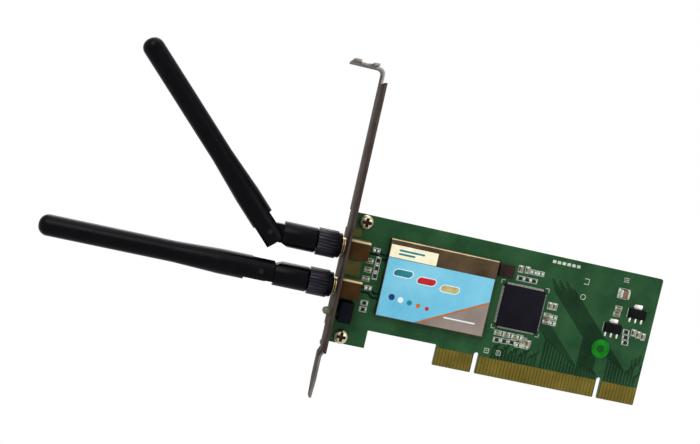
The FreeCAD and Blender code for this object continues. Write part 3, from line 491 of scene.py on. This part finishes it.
can_tin = plated("shield_tin", seen(54, 42, 31), seen(90, 74, 56), 0.38, ALONG_THE_CAN, 1600)
# Painted light: a lighter copy of the tin for the shield's upward faces.
can_painted_light = plated("can_painted_light", seen(150, 128, 100), seen(196, 172, 140), 0.4, ALONG_THE_CAN, 1600)
bright_tin = plated("tinned_lead", seen(186, 182, 174), seen(220, 216, 208), 0.34, grain=3200)
lead_tin = plated("lead_tin", seen(158, 158, 152), seen(198, 198, 190), 0.5, grain=3200, metal=0.25)
chip_black = moulded("chip_mould", seen(10, 8, 16), seen(19, 16, 27), 0.5, 4200, 0.02,
                     Specular_IOR_Level=0.08)
regulator_black = moulded("regulator_mould", seen(8, 8, 10), seen(18, 17, 20), 0.5, 4200, 0.02,
                          Specular_IOR_Level=0.05)
tan_ceramic = moulded("capacitor_tan", seen(128, 112, 90), seen(158, 142, 116), 0.5, 3000, 0.01)
resistor_black = moulded("resistor_body", seen(26, 26, 28), seen(42, 42, 46), 0.4, 2400, 0.01,
                         Specular_IOR_Level=0.12)
bulk_brown = moulded("bulk_brown", seen(98, 66, 42), seen(124, 90, 60), 0.4, 3400)
crystal_brown = moulded("crystal_brown", seen(30, 20, 20), seen(46, 32, 30), 0.35, 3000,
                        Specular_IOR_Level=0.1)

silk_white = paper("silkscreen_white", seen(206, 210, 200), seen(168, 180, 164), 0.65)
cream_paper = paper("paper_cream", seen(250, 244, 214), seen(236, 226, 190))
dot_paper = paper("dot_green", seen(8, 128, 18), seen(4, 98, 12), 0.5)
motif_dot = paper("dot_dark", seen(4, 78, 10), seen(2, 56, 8), 0.5)
label_print = label_fields()
motif_red = paper("motif_red", seen(196, 44, 48), seen(160, 30, 38), 0.4)
motif_teal = paper("motif_teal", seen(40, 132, 140), seen(28, 104, 116), 0.4)
motif_olive = paper("motif_olive", seen(198, 188, 128), seen(158, 148, 92), 0.4)
motif_orange = paper("motif_orange", seen(206, 122, 44), seen(168, 92, 30), 0.4)
motif_navy = paper("motif_navy", seen(38, 58, 110), seen(28, 42, 84), 0.4)
motif_white = paper("motif_white", seen(240, 246, 250), seen(214, 226, 234), 0.4)

finish_of_slot = {
    "solder_mask": mask_green, "contact_gold": finger_gold, "bracket_steel": nickel,
    "screw_steel": screw_plate, "jack_brass": jack_gold, "insulator_white": white_insulator,
    "nut_black": black_plate, "antenna_black": antenna_black, "pin_steel": pin_steel,
    "holder_plastic": holder_black, "lamp_lens": lens_clear, "tinned_lead": bright_tin,
    "shield_tin": can_tin, "chip_mould": chip_black, "label_print": label_print,
    "paper_cream": cream_paper, "dot_green": dot_paper, "capacitor_tan": tan_ceramic,
    "resistor_body": resistor_black, "bulk_brown": bulk_brown, "crystal_brown": crystal_brown,
}
for node, slot in slot_of.items():
    nodes[node].data.materials[0] = finish_of_slot[slot]


# Solids that are kept, with rounded edges, and painted light and shade as other materials on some faces

def round_the_solids():
    """Round the edges of the larger solids, by widths in millimetres."""
    edge_rounds = {
        "bracket": 0.1, "radio_shield": 0.08, "lamp_holder": 0.2, "lamp_leads": 0.04,
        "main_chip_leads": 0.03, "regulators": 0.12, "regulator_leads": 0.06, "clock_crystal": 0.15,
        "radio_chip": 0.06, "amplifier_chips": 0.06, "radio_crystal": 0.1,
    }
    for side in SIDES:
        edge_rounds[side + "_jack_body"] = 0.3
        edge_rounds[side + "_coupling_nut"] = 0.05
        edge_rounds[side + "_swivel_base"] = 0.2
    special = {"regulators": regulator_black, "main_chip_leads": lead_tin}
    for node, edge_round in edge_rounds.items():
        refine(node, edge_round, special.get(node) or finish_of_slot[slot_of[node]])


def paint_light_and_shade():
    """Painted shade on the bracket's low-Y edges; painted light on its tongue, tab, inside and high-Y edges,
    the shield's upper faces, and the jacks' tops and bevels.
    """
    tab_root = bracket_high.z / MM - TAB_HEIGHT
    # Painted shade on the edges that face low Y.
    paint_faces_light_and_shade("bracket", painted_shade_edge, lambda middle, normal: normal.y < -ROUGHLY)
    # Painted light on the tongue, the tab, the inner face and the edges that face high Y.
    paint_faces_light_and_shade("bracket", tongue_painted_light_nickel, lambda middle, normal: middle.z < TONGUE_TOP)
    paint_faces_light_and_shade("bracket", painted_light_nickel, lambda middle, normal:
                 middle.z > tab_root or normal.x > ROUGHLY or normal.y > ROUGHLY)
    upward, sideways, bevelled = 0.25, 0.5, 0.93
    # Painted light on the shield's upward faces.
    paint_faces_light_and_shade("radio_shield", can_painted_light, lambda middle, normal:
                 normal.z > upward and abs(normal.x) < sideways)
    for side in SIDES:
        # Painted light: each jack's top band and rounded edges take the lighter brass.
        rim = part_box(side + "_jack_body")[1].z / MM - JACK_LIT_TOP
        slice_piece(side + "_jack_body", (0, 0, rim), (0, 0, 1))
        paint_faces_light_and_shade(side + "_jack_body", brass_painted_light, lambda middle, normal: middle.z > rim
                     or middle.x > board_low.x + JACK_CLEAR and max(map(abs, normal)) < bevelled)


def make_lens():
    """Lamp lens whose root, behind the bracket, takes the holder's black as painted shade."""
    refine("lamp_lens", 0, lens_clear)
    slice_piece("lamp_lens", (board_low.x, 0, 0), (1, 0, 0))
    # Painted shade: the lens beyond the board's edge takes the holder's black.
    paint_faces_light_and_shade("lamp_lens", holder_black, lambda middle, normal: middle.x > board_low.x)


# Tracks, vias and print on the board

def lay_strips(name, routes, width, height, seat, finish):
    """Low strips along routes of (x, z) points in millimetres, on the board's face at seat."""
    line = bpy.data.curves.new(name, "CURVE")
    line.dimensions = "2D"
    line.fill_mode = "NONE"
    line.bevel_depth = width / 2 * MM
    line.bevel_resolution = 0
    line.use_fill_caps = True
    for route in routes:
        run = line.splines.new("POLY")
        run.points.add(len(route) - 1)
        for point, (x, z) in zip(run.points, route):
            point.co = (x * MM, z * MM, 0, 1)
    piece = bpy.data.objects.new(name, line)
    bpy.context.scene.collection.objects.link(piece)
    only(piece)
    bpy.ops.object.convert(target="MESH")
    piece = bpy.context.object
    piece.scale.z = height / (width / 2)
    piece.rotation_euler.x = math.pi / 2
    piece.location.y = seat * MM
    settle(piece)
    return dress(piece, "card", finish)


def inlay(name, loops, seat, finish, thick=0.02):
    """Thin printed or plated shapes on a face, each from a loop of (x, z) corners in millimetres."""
    piece = begin(name)
    shape = bmesh.from_edit_mesh(piece.data)
    for corners in loops:
        shape.faces.new([shape.verts.new(Vector((x, seat, z)) * MM) for x, z in corners])
    bmesh.update_edit_mesh(piece.data)
    bpy.ops.mesh.select_all(action="SELECT")
    bpy.ops.mesh.extrude_region_move(TRANSFORM_OT_translate={"value": (0, -thick * MM, 0)})
    bpy.ops.mesh.select_all(action="SELECT")
    bpy.ops.mesh.normals_make_consistent(inside=False)
    leave_edit()
    return dress(piece, "card", finish)


def upright_box(low_x, low_z, high_x, high_z):
    return [(low_x, low_z), (high_x, low_z), (high_x, high_z), (low_x, high_z)]


def round_a_box(*sides):
    """A closed route round an upright box."""
    corners = upright_box(*sides)
    return corners + corners[:1]


def finger_x(column):
    """The middle of a contact finger, which may be between two of them."""
    return contact_low.x + FINGER_HALF + column * FINGER_PITCH


def front_routes():
    """Tracks on the component side: a slanted bundle past the chip, drops from the chip, and short rises."""
    routes = []
    bundle_tracks, bent_tracks, chip_tracks = 14, 8, 11
    for step in range(bundle_tracks):
        # x + z stays the same along the slant
        corner_sum = 36.2 + 0.66 * step
        upper = 37.4 + 1.1 * (step % 4)
        start = (corner_sum - upper, upper)
        if step < bent_tracks:
            lower = 21.6 - 0.2 * step
            finger = finger_x(42 + 0.85 * step)
            routes.append([start, (corner_sum - lower, lower), (corner_sum - lower, 10.2), (finger, 8.8),
                           (finger, FINGER_TOP)])
        else:
            finger = finger_x(51 + step - bent_tracks)
            routes.append([start, (finger, corner_sum - finger), (finger, FINGER_TOP)])
    for step in range(chip_tracks):
        level = CHIP_MIDDLE.z - 6.2 + 0.5 * step
        x = finger_x(31 + step)
        turn = level - (x - chip_high.x - 1.0)
        routes.append([(chip_high.x - 0.4, level), (chip_high.x + 1.0, level), (x, turn), (x, FINGER_TOP)])
    for column in range(16, 30):
        x = finger_x(column)
        top = 9.6 + 1.1 * (column % 3)
        routes.append([(x, FINGER_TOP), (x, top), (x + 0.5, top + 0.5), (x + 0.5, top + 1.6)])
    for column in (57, 58, 59, 60):
        x = finger_x(column)
        top = 10.5 + 1.3 * (column % 4)
        routes.append([(x, FINGER_TOP), (x, top), (x + 1.6, top + 1.6), (x + 1.6, top + 5)])
    return routes


def back_routes():
    """Tracks on the solder side: long runs up from the contacts, each ending at a via."""
    routes = []
    for column in range(FINGER_PLACES):
        if column in KEY_PLACES or column % 3 == 1:
            continue
        x = finger_x(column)
        first = chance.uniform(9, 15)
        shift = chance.choice((-1, 1)) * chance.uniform(1, 6)
        end = chance.uniform(4, 22)
        x_end = min(max(x + shift, contact_low.x + 1), contact_high.x - 1)
        routes.append([(x, FINGER_TOP), (x, first), (x_end, first + abs(x_end - x)),
                       (x_end, min(first + abs(x_end - x) + end, board_high.z - 2))])
    for step in range(9):
        level = 30 + 1.15 * step
        start = -58 + 1.1 * step
        routes.append([(start, level - 7), (start + 4, level - 3), (start + 7, level),
                       (-22 + 3 * step, level)])
    return routes


def feed_routes():
    """Wide antenna feeds from each jack's centre pin to the shield."""
    routes = []
    for side in SIDES:
        low, high = [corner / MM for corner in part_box(side + "_jack_contact")]
        level = (low.z + high.z) / 2
        routes.append([(high.x, level), (-68.5, level), (-67.2, level - 1.3),
                       (shield_low.x + 0.3, level - 1.3)])
    return routes


def make_vias(name, places, seat, outward):
    """Plated rings round small holes, at (x, z) places on one face of the board."""
    piece = begin(name)
    corners, ring_share, inner_share = 10, 0.45, 0.62
    for x, z in places:
        bpy.ops.mesh.primitive_cylinder_add(
            vertices=corners, radius=VIA_RADIUS * MM, depth=2 * TRACK_HEIGHT * MM,
            location=Vector((x, seat, z)) * MM, rotation=(math.pi / 2, 0, 0))
    pick_faces(piece, lambda middle, normal: normal.y * outward > SQUARELY)
    bpy.ops.mesh.inset(thickness=VIA_RADIUS * ring_share * MM, depth=-0.02 * MM, use_individual=True)
    leave_edit()
    largest_hole = (VIA_RADIUS * inner_share * MM) ** 2 * math.pi
    for polygon in piece.data.polygons:
        inner = polygon.area < largest_hole and len(polygon.vertices) == corners
        polygon.material_index = 1 if inner else 0
    return dress(piece, "card", [track_green, dark_hole])


def via_places(routes):
    """The free ends of tracks, then rows along the board's top and under the shield, and a few strays."""
    def is_free(x, z):
        under_chip = chip_low.x < x < chip_high.x and z < chip_high.z
        return z > FINGER_TOP + 0.1 and not under_chip

    places = [end for route in routes for end in (route[0], route[-1]) if is_free(*end)]
    for step in range(24):
        x = -62 + 4.1 * step
        if not BAR_ROW_START - 1 < x < BAR_ROW_START + BAR_ROW_LENGTH + 1:
            places.append((x, 46.6 + 0.5 * (step % 2)))
    for step in range(14):
        places.append((shield_low.x + 1.2 + 3 * step, 11.4 - 0.4 * (step % 2)))
    for step in range(12):
        places.append((chance.uniform(10, 37), chance.uniform(38, 45)))
    apart = []
    for place in places:
        if all(math.dist(place, other) > VIA_SPACING for other in apart):
            apart.append(place)
    return apart


def outline_marks():
    """White print: marks at the chip's corners, outlines round small parts, a ring and plain marks."""
    marks = []
    half = (chip_high.x - chip_low.x) / 2 + 0.5
    for side_x in (-1, 1):
        for side_z in (-1, 1):
            x, z = CHIP_MIDDLE.x + side_x * half, CHIP_MIDDLE.z + side_z * half
            marks.append([(x - 1.4 * side_x, z), (x, z), (x, z - 1.4 * side_z)])
    for low, high in solids_of("regulators"):
        for x in (low.x - 0.35, high.x + 0.35):
            marks.append([(x, low.z), (x, high.z)])
    marks.append([(9.6, 43.2), (11.4, 43.2), (11.4, 41.2), (9.6, 41.2)])
    ring_x, ring_z, ring_radius = 10.5, 36.3, 0.95
    turns = [step * math.pi / 8 for step in range(17)]
    marks.append([(ring_x + ring_radius * math.cos(turn), ring_z + ring_radius * math.sin(turn))
                  for turn in turns])
    for z in (46.6, 45.9, 45.2):
        marks.append([(24.5, z), (26.6, z)])
    for x in (-21.6, -17.0):
        marks.append(round_a_box(x, 8.5, x + 1.6, 10.1))
        marks.append([(x + 0.4, 9.3), (x + 1.2, 9.3)])
    for x, z in spare_footprints():
        marks.append(round_a_box(x - SPARE_HALF_LENGTH, z - SPARE_HALF_WIDTH,
                                 x + SPARE_HALF_LENGTH, z + SPARE_HALF_WIDTH))
    for node in CHIP_PARTS:
        for low, high in solids_of(node):
            marks.append(round_a_box(low.x - OUTLINE_ROOM, low.z - OUTLINE_ROOM,
                                     high.x + OUTLINE_ROOM, high.z + OUTLINE_ROOM))
    return marks


def spare_footprints():
    """Middles of the unfilled places for small parts: below, above and beside the chip, and by the shield."""
    places = [(CHIP_MIDDLE.x - 4.5 + 3.4 * step, chip_low.z - 1.9) for step in range(3)]
    places += [(CHIP_MIDDLE.x + 2.6 + 2.7 * step, chip_low.z - 4.9) for step in range(2)]
    places += [(CHIP_MIDDLE.x + 1.9 + 2.7 * step, chip_high.z + 5.4) for step in range(2)]
    places += [(chip_high.x + 4.6, CHIP_MIDDLE.z - 0.8 - 2.2 * step) for step in range(2)]
    places += [(shield_low.x - 4.0, shield_low.z + 9.0 + 14.0 * step) for step in range(2)]
    return places


def make_bare_pads():
    """Plated ground areas by the jacks, unfilled pads, and a row of plain white bars at the board's top."""
    jacks = [[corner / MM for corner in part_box(side + "_jack_body")] for side in ("lower", "upper")]
    left = board_low.x + 0.9
    middle = upright_box(left, jacks[0][1].z + 1.0, left + 6.0, jacks[1][0].z - 1.3)
    above = upright_box(left, jacks[1][1].z + 0.7, left + 3.4, jacks[1][1].z + 3.6)
    inlay("ground_pads", [middle, above], FRONT, bare_pad, TRACK_HEIGHT)
    pads = [upright_box(x + side - 0.35, z - 0.45, x + side + 0.35, z + 0.45)
            for x, z in spare_footprints() for side in (-0.65, 0.65)]
    inlay("spare_pads", pads, FRONT, solder, TRACK_HEIGHT)
    step, filled = BAR_ROW_LENGTH / BAR_COUNT, 0.7
    bars = [upright_box(BAR_ROW_START + step * number, BAR_LOW,
                        BAR_ROW_START + step * (number + filled), BAR_HIGH)
            for number in range(BAR_COUNT)]
    inlay("print_bars", bars, FRONT, silk_white, PRINT_HEIGHT)


def make_board_print():
    """Tracks with a darker gap on either side, vias, and white print, on both faces of the board."""
    front, back, feeds = front_routes(), back_routes(), feed_routes()
    for name, routes, seat in (("front", front, FRONT), ("back", back, BACK)):
        lay_strips(name + "_gaps", routes, 0.72, GAP_HEIGHT, seat, gap_green)
        lay_strips(name + "_tracks", routes, 0.3, TRACK_HEIGHT, seat, track_green)
    lay_strips("feed_gaps", feeds, 2.4, GAP_HEIGHT, FRONT, gap_green)
    lay_strips("feed_tracks", feeds, 1.2, TRACK_HEIGHT, FRONT, track_green)
    make_vias("front_vias", via_places(front), FRONT, -1)
    make_vias("back_vias", via_places(back), BACK, 1)
    lay_strips("silkscreen", outline_marks(), 0.26, PRINT_HEIGHT, FRONT, silk_white)
    make_bare_pads()


# Small soldered parts

def chip_part(name, low, high, end_share):
    """A chip component: a rounded block whose two ends carry metal caps."""
    piece = block(name, low, high)
    long_axis = 0 if high.x - low.x > high.z - low.z else 2
    normal = Vector((1, 0, 0)) if long_axis == 0 else Vector((0, 0, 1))
    length = high[long_axis] - low[long_axis]
    bpy.ops.object.mode_set(mode="EDIT")
    for share in (end_share, 1 - end_share):
        bpy.ops.mesh.select_all(action="SELECT")
        cut = Vector(low) + normal * (length * share)
        bpy.ops.mesh.bisect(plane_co=cut * MM, plane_no=normal)
    leave_edit()
    middle = (low[long_axis] + high[long_axis]) / 2
    limit = length * (0.5 - end_share)
    for polygon in piece.data.polygons:
        at_an_end = abs(polygon.center[long_axis] / MM - middle) > limit + 0.01
        polygon.material_index = 1 if at_an_end else 0
    change(piece, "BEVEL", width=0.07 * MM, segments=2, limit_method="ANGLE", angle_limit=SHARP)
    return piece


def join(name, pieces):
    """Make one object of several."""
    bpy.ops.object.select_all(action="DESELECT")
    for piece in pieces:
        piece.select_set(True)
    bpy.context.view_layer.objects.active = pieces[0]
    bpy.ops.object.join()
    pieces[0].name = name
    return pieces[0]


def make_chip_parts():
    """Capacitors and resistors with metal ends, and the moulded capacitor with pale ones."""
    rows = (("ceramic_capacitors", 0.3, tan_ceramic), ("chip_resistors", 0.26, resistor_black))
    for node, end_share, finish in rows:
        parts = [chip_part(node + "_piece", low, high, end_share) for low, high in solids_of(node)]
        piece = join(node + "_finished", parts)
        soften(piece, 0)
        dress(piece, "card", [finish, bright_tin], [node])
    low, high = [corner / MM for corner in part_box("bulk_capacitor")]
    piece = chip_part("bulk_capacitor_finished", low, high, 0.2)
    soften(piece, 0)
    dress(piece, "card", [bulk_brown, silk_white], ["bulk_capacitor"])


def make_solder_pads():
    """Sloping solder at the ends of the chip components and under the regulators' legs."""
    spots = []
    for node in CHIP_PARTS:
        for low, high in solids_of(node):
            upright = high.z - low.z > high.x - low.x
            for end in (0, 1):
                x = (low.x + high.x) / 2 if upright else (low.x, high.x)[end]
                z = (low.z, high.z)[end] if upright else (low.z + high.z) / 2
                width = (high.x - low.x) if upright else (high.z - low.z)
                spots.append((x, z, width, upright))
    for low, high in solids_of("regulator_leads"):
        spots.append(((low.x + high.x) / 2, (low.z + high.z) / 2, high.x - low.x, True))
    piece = begin("solder_pads")
    spill, foot, crown, depth, lift = 0.2, 0.62, 0.4, 0.5, 0.1
    for x, z, width, upright in spots:
        scale = Vector((width + spill, 0.9, 0.5)) if upright else Vector((0.9, width + spill, 0.5))
        bpy.ops.mesh.primitive_cone_add(
            vertices=8, radius1=foot * MM, radius2=crown * MM, depth=depth * MM, scale=scale,
            location=Vector((x, FRONT - lift, z)) * MM, rotation=(math.pi / 2, 0, 0))
    leave_edit()
    soften(piece, 0.05)
    dress(piece, "card", solder)


def make_solder_joints():
    """Solder cones on the back, round each leg of the jacks and the lamp."""
    pin_joint, leg_joint, lamp_joint = 0.85, 1.15, 0.7
    depth, lift, crown_share, tip = 0.9, 0.42, 0.42, 0.12
    places = []
    for side in SIDES:
        pin_low, pin_high = [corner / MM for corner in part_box(side + "_jack_contact")]
        block_low, block_high = [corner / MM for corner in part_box(side + "_jack_body")]
        middle_z = (pin_low.z + pin_high.z) / 2
        pin_x = pin_high.x - PIN_RADIUS
        places.append((pin_x, middle_z, pin_joint))
        for x in (2 * pin_x - block_high.x + LEG_MIDDLE, block_high.x - LEG_MIDDLE):
            for z in (block_low.z + LEG_MIDDLE, block_high.z - LEG_MIDDLE):
                places.append((x, z, leg_joint))
    for low, high in solids_of("lamp_leads"):
        places.append(((low.x + high.x) / 2, (low.z + high.z) / 2, lamp_joint))
    piece = begin("back_solder_joints")
    for x, z, radius in places:
        bpy.ops.mesh.primitive_cone_add(
            vertices=20, radius1=radius * MM, radius2=radius * crown_share * MM, depth=depth * MM,
            location=Vector((x, BACK + lift, z)) * MM, rotation=(-math.pi / 2, 0, 0))
    pick_faces(piece, lambda middle, normal: normal.y > SQUARELY)
    bpy.ops.mesh.inset(thickness=tip * MM, depth=tip * MM, use_individual=True)
    leave_edit()
    soften(piece, 0.08, 3)
    dress(piece, "card", solder)


# Turned pieces and the main chip

def turned(name, profile, steps=40):
    """Spin a profile of (distance along Y, radius) points in millimetres about the Y axis."""
    piece = begin(name)
    shape = bmesh.from_edit_mesh(piece.data)
    row = [shape.verts.new(Vector((radius, along, 0)) * MM) for along, radius in profile]
    for first, second in zip(row, row[1:]):
        shape.edges.new((first, second))
    bmesh.update_edit_mesh(piece.data)
    bpy.ops.mesh.select_all(action="SELECT")
    bpy.ops.mesh.spin(steps=steps, angle=2 * math.pi, center=(0, 0, 0), axis=(0, 1, 0))
    bpy.ops.mesh.select_all(action="SELECT")
    bpy.ops.mesh.remove_doubles(threshold=MERGE)
    bpy.ops.mesh.normals_make_consistent(inside=False)
    leave_edit()
    return piece


def make_screws():
    """Domed cross-headed screws with a rolled thread below the head."""
    crest, root, pitch = 1.4, 1.18, 0.5
    recess_length, recess_width, recess_floor, recess_taper = 4.8, 1.6, -0.85, 0.6
    above_head = -3
    screws = []
    for low, high in solids_of("board_screws"):
        head = (high.x - low.x) / 2
        reach = high.y - FRONT
        profile = [(-1.7, 0), (-1.66, 0.9), (-1.45, 1.7), (-1.05, 2.35), (-0.55, head - 0.05),
                   (-0.2, head), (0, head - 0.1), (0, crest)]
        along = 0.3
        while along < reach - pitch:
            profile += [(along, root), (along + pitch / 2, crest)]
            along += pitch
        profile += [(reach - 0.25, 1.1), (reach, 0.8), (reach, 0)]
        screw = turned("board_screw", profile)
        screw.data.materials.append(screw_plate)
        cutters = []
        for size_x, size_z in ((recess_length, recess_width), (recess_width, recess_length)):
            cutter = block("recess", (-size_x / 2, above_head, -size_z / 2),
                           (size_x / 2, recess_floor, size_z / 2))
            bpy.ops.object.mode_set(mode="EDIT")
            pick_faces(cutter, lambda middle, normal: normal.y > SQUARELY)
            bpy.ops.transform.resize(value=(recess_taper, 1, recess_taper))
            leave_edit()
            # The recess faces take the dark plating as painted shade.
            cutter.data.materials.append(recess_painted_shade)
            cutters.append(cutter)
        for cutter in cutters:
            change(screw, "BOOLEAN", object=cutter, operation="DIFFERENCE", solver="EXACT",
                   material_mode="TRANSFER")
            bpy.data.objects.remove(cutter)
        clear_slivers(screw)
        screw.location = Vector(((low.x + high.x) / 2, FRONT, (low.z + high.z) / 2)) * MM
        screws.append(settle(screw))
    piece = join("board_screws_finished", screws)
    soften(piece, 0)
    dress(piece, "card", [screw_plate, recess_painted_shade], ["board_screws"])


def make_threads():
    """A fine rolled thread on each jack's barrel, shallow enough to run in the nut."""
    pitch, crest, root, inside = 25.4 / 36, 3.17, 3.0, 2.7
    crest_start, crest_end = 0.4, 0.55
    for side in SIDES:
        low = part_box(side + "_jack_body")[0] / MM
        core_low, core_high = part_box(side + "_plug_core")
        axis = (core_low + core_high) / 2
        start, end = low.x + 0.6, board_low.x + JACK_CLEAR
        profile = [(start, inside)]
        along = start
        while along + pitch < end:
            profile += [(along, root), (along + pitch * crest_start, crest),
                        (along + pitch * crest_end, crest)]
            along += pitch
        profile += [(along, root), (along, inside), (start, inside)]
        piece = turned(side + "_barrel_thread", profile, 36)
        piece.rotation_euler.z = -math.pi / 2
        piece.location = (0, axis.y, axis.z)
        settle(piece)
        soften(piece, 0)
        # The thread takes the lighter brass: partly the barrel's bright plating, partly a painted highlight
        # between nut and bracket.
        dress(piece, "card", brass_painted_light)


def make_main_chip():
    """Moulded package with two round marks sunk in opposite corners."""
    piece = refine("main_chip", 0.06, chip_black)
    low, high = [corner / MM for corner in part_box("main_chip")]
    small_mark = (low.x + 1.9, high.z - 1.9, 0.55, 0.1)
    large_mark = (high.x - 2.4, low.z + 2.4, 0.9, 0.04)
    for x, z, radius, depth in (small_mark, large_mark):
        bpy.ops.object.select_all(action="DESELECT")
        bpy.ops.mesh.primitive_cylinder_add(
            vertices=28, radius=radius * MM, depth=2 * depth * MM,
            location=Vector((x, low.y, z)) * MM, rotation=(math.pi / 2, 0, 0))
        cutter = bpy.context.object
        change(piece, "BOOLEAN", object=cutter, operation="DIFFERENCE", solver="EXACT")
        bpy.data.objects.remove(cutter)
    soften(piece, 0)


# Labels

def rounded_bar(x, z, length, height, lean=0.0):
    """Corners of a bar with round ends, leaning by a share of its height."""
    corners = []
    radius = height / 2
    for end, start_turn in ((1, -90), (-1, 90)):
        for step in range(9):
            turn = math.radians(start_turn + 22.5 * step)
            dx = end * (length / 2 - radius) + radius * math.cos(turn)
            dz = radius * math.sin(turn)
            corners.append((x + dx + lean * dz, z + dz))
    return corners


def disc(x, z, radius, count=24):
    """Corners of a round spot."""
    turns = [2 * math.pi * step / count for step in range(count)]
    return [(x + radius * math.cos(turn), z + radius * math.sin(turn)) for turn in turns]


def make_label_motifs():
    """Plain bars, discs and a slanted stripe on the label, rules on the paper strip, and the dot's middle."""
    left, face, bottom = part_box("colour_label")[0] / MM
    lean, thin = 0.3, 0.012
    stripe = [(left + 15.4, bottom + 0.6), (left + 16.8, bottom + 0.6), (left + 39.4, bottom + 11.9),
              (left + 39.4, bottom + 12.6)]
    inlay("motif_stripe", [stripe], face, motif_orange)
    for number, finish in enumerate((motif_teal, motif_red, motif_olive)):
        x, z = left + 6.5 + 9.0 * number, bottom + 16.6 - 1.1 * number
        inlay(f"motif_rim_{number}", [rounded_bar(x, z, 7.4, 3.0, lean)], face, motif_white)
        inlay(f"motif_bar_{number}", [rounded_bar(x, z, 6.8, 2.4, lean)], face - 0.015, finish)
    for number, finish in enumerate((motif_navy, motif_white, motif_teal, motif_orange, motif_red)):
        spot = disc(left + 4.2 + 3.4 * number, bottom + 7.4 - 0.4 * number, 1.15 - 0.1 * number)
        inlay(f"motif_disc_{number}", [spot], face, finish)
    inlay("motif_line", [rounded_bar(left + 30.5, bottom + 4.0, 12.0, 0.5)], face, motif_white)
    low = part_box("paper_strip")[0] / MM
    rules = [rounded_bar(low.x + 3.2 + length / 2, low.z + 2.9 - 1.3 * number, length, 0.7)
             for number, length in enumerate((9.6, 6.2))]
    inlay("strip_rules", rules, low.y, motif_teal, thin)
    low, high = [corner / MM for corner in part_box("test_dot")]
    middle = (low + high) / 2
    inlay("dot_middle", [disc(middle.x, middle.z, 1.5)], low.y, motif_dot, thin)


# Camera, lights and stage

def make_camera():
    """The photograph's view, from the left and a little above, with its tilt."""
    place = (-0.126404, -0.354995, 0.067241)
    turn_degrees = (86.35485, -12.77797, -6.49805)
    bpy.ops.object.select_all(action="DESELECT")
    bpy.ops.object.camera_add(location=place, rotation=[math.radians(angle) for angle in turn_degrees])
    camera = bpy.context.object
    camera.data.sensor_width = 36
    camera.data.lens = 51.124
    bpy.context.scene.camera = camera


def white_to_the_eye(tree):
    """1 for rays from the camera, in a reflection or through glass, and 0 for rays that light things."""
    paths = tree.nodes.new("ShaderNodeLightPath").outputs
    shown = paths["Is Camera Ray"]
    for ray in ("Is Glossy Ray", "Is Transmission Ray"):
        either = tree.nodes.new("ShaderNodeMath")
        either.operation = "MAXIMUM"
        tree.links.new(shown, either.inputs[0])
        tree.links.new(paths[ray], either.inputs[1])
        shown = either.outputs["Value"]
    return shown


def stage_paper(name, shadow_share):
    """White paper that keeps a share of the card's soft shadow near it, and shows plain white further off."""
    fade_start, fade_end = 0.15, 0.6
    finish = Finish(name, Roughness=0.9)
    reach = finish.add("VectorMath", [(0, finish.place)], operation="LENGTH").outputs["Value"]
    shadow_share = finish.spread(reach, fade_start, fade_end, shadow_share, 0)
    mottle = finish.noise(30, 2)
    finish.colour(finish.mix(mottle, (0.86, 0.86, 0.86, 1), (0.9, 0.9, 0.9, 1)))
    shown = white_to_the_eye(finish.tree)
    glow = finish.add("Emission", [("Color", (1, 1, 1, 1)), ("Strength", 1.0)]).outputs["Emission"]
    lift = finish.maths("MULTIPLY", shown, finish.maths("SUBTRACT", 1.0, shadow_share))
    blend = finish.add("MixShader", [(0, lift), (1, finish.shader.outputs["BSDF"]), (2, glow)])
    finish.tree.links.new(blend.outputs["Shader"], finish.tree.nodes["Material Output"].inputs["Surface"])
    return finish.material


def make_stage():
    """A white floor, low enough for the lower whip to hang down, and a white wall well behind."""
    width, drop, wall_y = 6, 0.07, 1.6
    bpy.ops.object.select_all(action="DESELECT")
    bpy.ops.mesh.primitive_plane_add(size=width, location=(0, 0, cad_box[0][2] - drop))
    floor = bpy.context.object
    floor.name = "floor"
    bpy.ops.mesh.primitive_plane_add(size=width, location=(0, wall_y, 0), rotation=(math.pi / 2, 0, 0))
    wall = bpy.context.object
    wall.name = "backdrop"
    for piece, shadow_share in ((floor, 0.12), (wall, 0.0)):
        settle(piece)
        piece.data.materials.append(stage_paper(piece.name + "_paper", shadow_share))


def make_lights():
    """Large soft lamps above, behind and to both sides, and a dim even room that looks white."""
    scene = bpy.context.scene
    scene.view_settings.view_transform = "Standard"
    aim = Vector((-0.04, 0, 0.035))
    for name, place, width, power in (
            ("key", (-0.5, -0.75, 0.85), 0.7, 8.0),
            ("fill", (0.7, -0.8, 0.35), 0.7, 3.2),
            ("top", (0.0, 0.05, 0.9), 0.8, 4.0),
            ("back", (-0.2, 0.7, 0.6), 0.6, 4.0)):
        bpy.ops.object.select_all(action="DESELECT")
        bpy.ops.object.light_add(type="AREA", location=place)
        lamp = bpy.context.object
        lamp.name = name
        lamp.data.size = width
        lamp.data.energy = power
        lamp.rotation_euler = (aim - Vector(place)).to_track_quat("-Z", "Y").to_euler()
    world = bpy.data.worlds.new("room")
    scene.world = world
    world.use_nodes = True
    tree = world.node_tree
    ground = tree.nodes["Background"]
    ground.inputs["Color"].default_value = (0.9, 0.92, 0.95, 1)
    ground.inputs["Strength"].default_value = 0.22
    white = tree.nodes.new("ShaderNodeBackground")
    white.inputs["Color"].default_value = (1, 1, 1, 1)
    blend = tree.nodes.new("ShaderNodeMixShader")
    tree.links.new(white_to_the_eye(tree), blend.inputs[0])
    tree.links.new(ground.outputs[0], blend.inputs[1])
    tree.links.new(white.outputs[0], blend.inputs[2])
    tree.links.new(blend.outputs[0], tree.nodes["World Output"].inputs["Surface"])


round_the_solids()
paint_light_and_shade()
make_lens()
make_board_print()
make_chip_parts()
make_solder_pads()
make_solder_joints()
make_screws()
make_threads()
make_main_chip()
make_label_motifs()
make_camera()
make_stage()
make_lights()
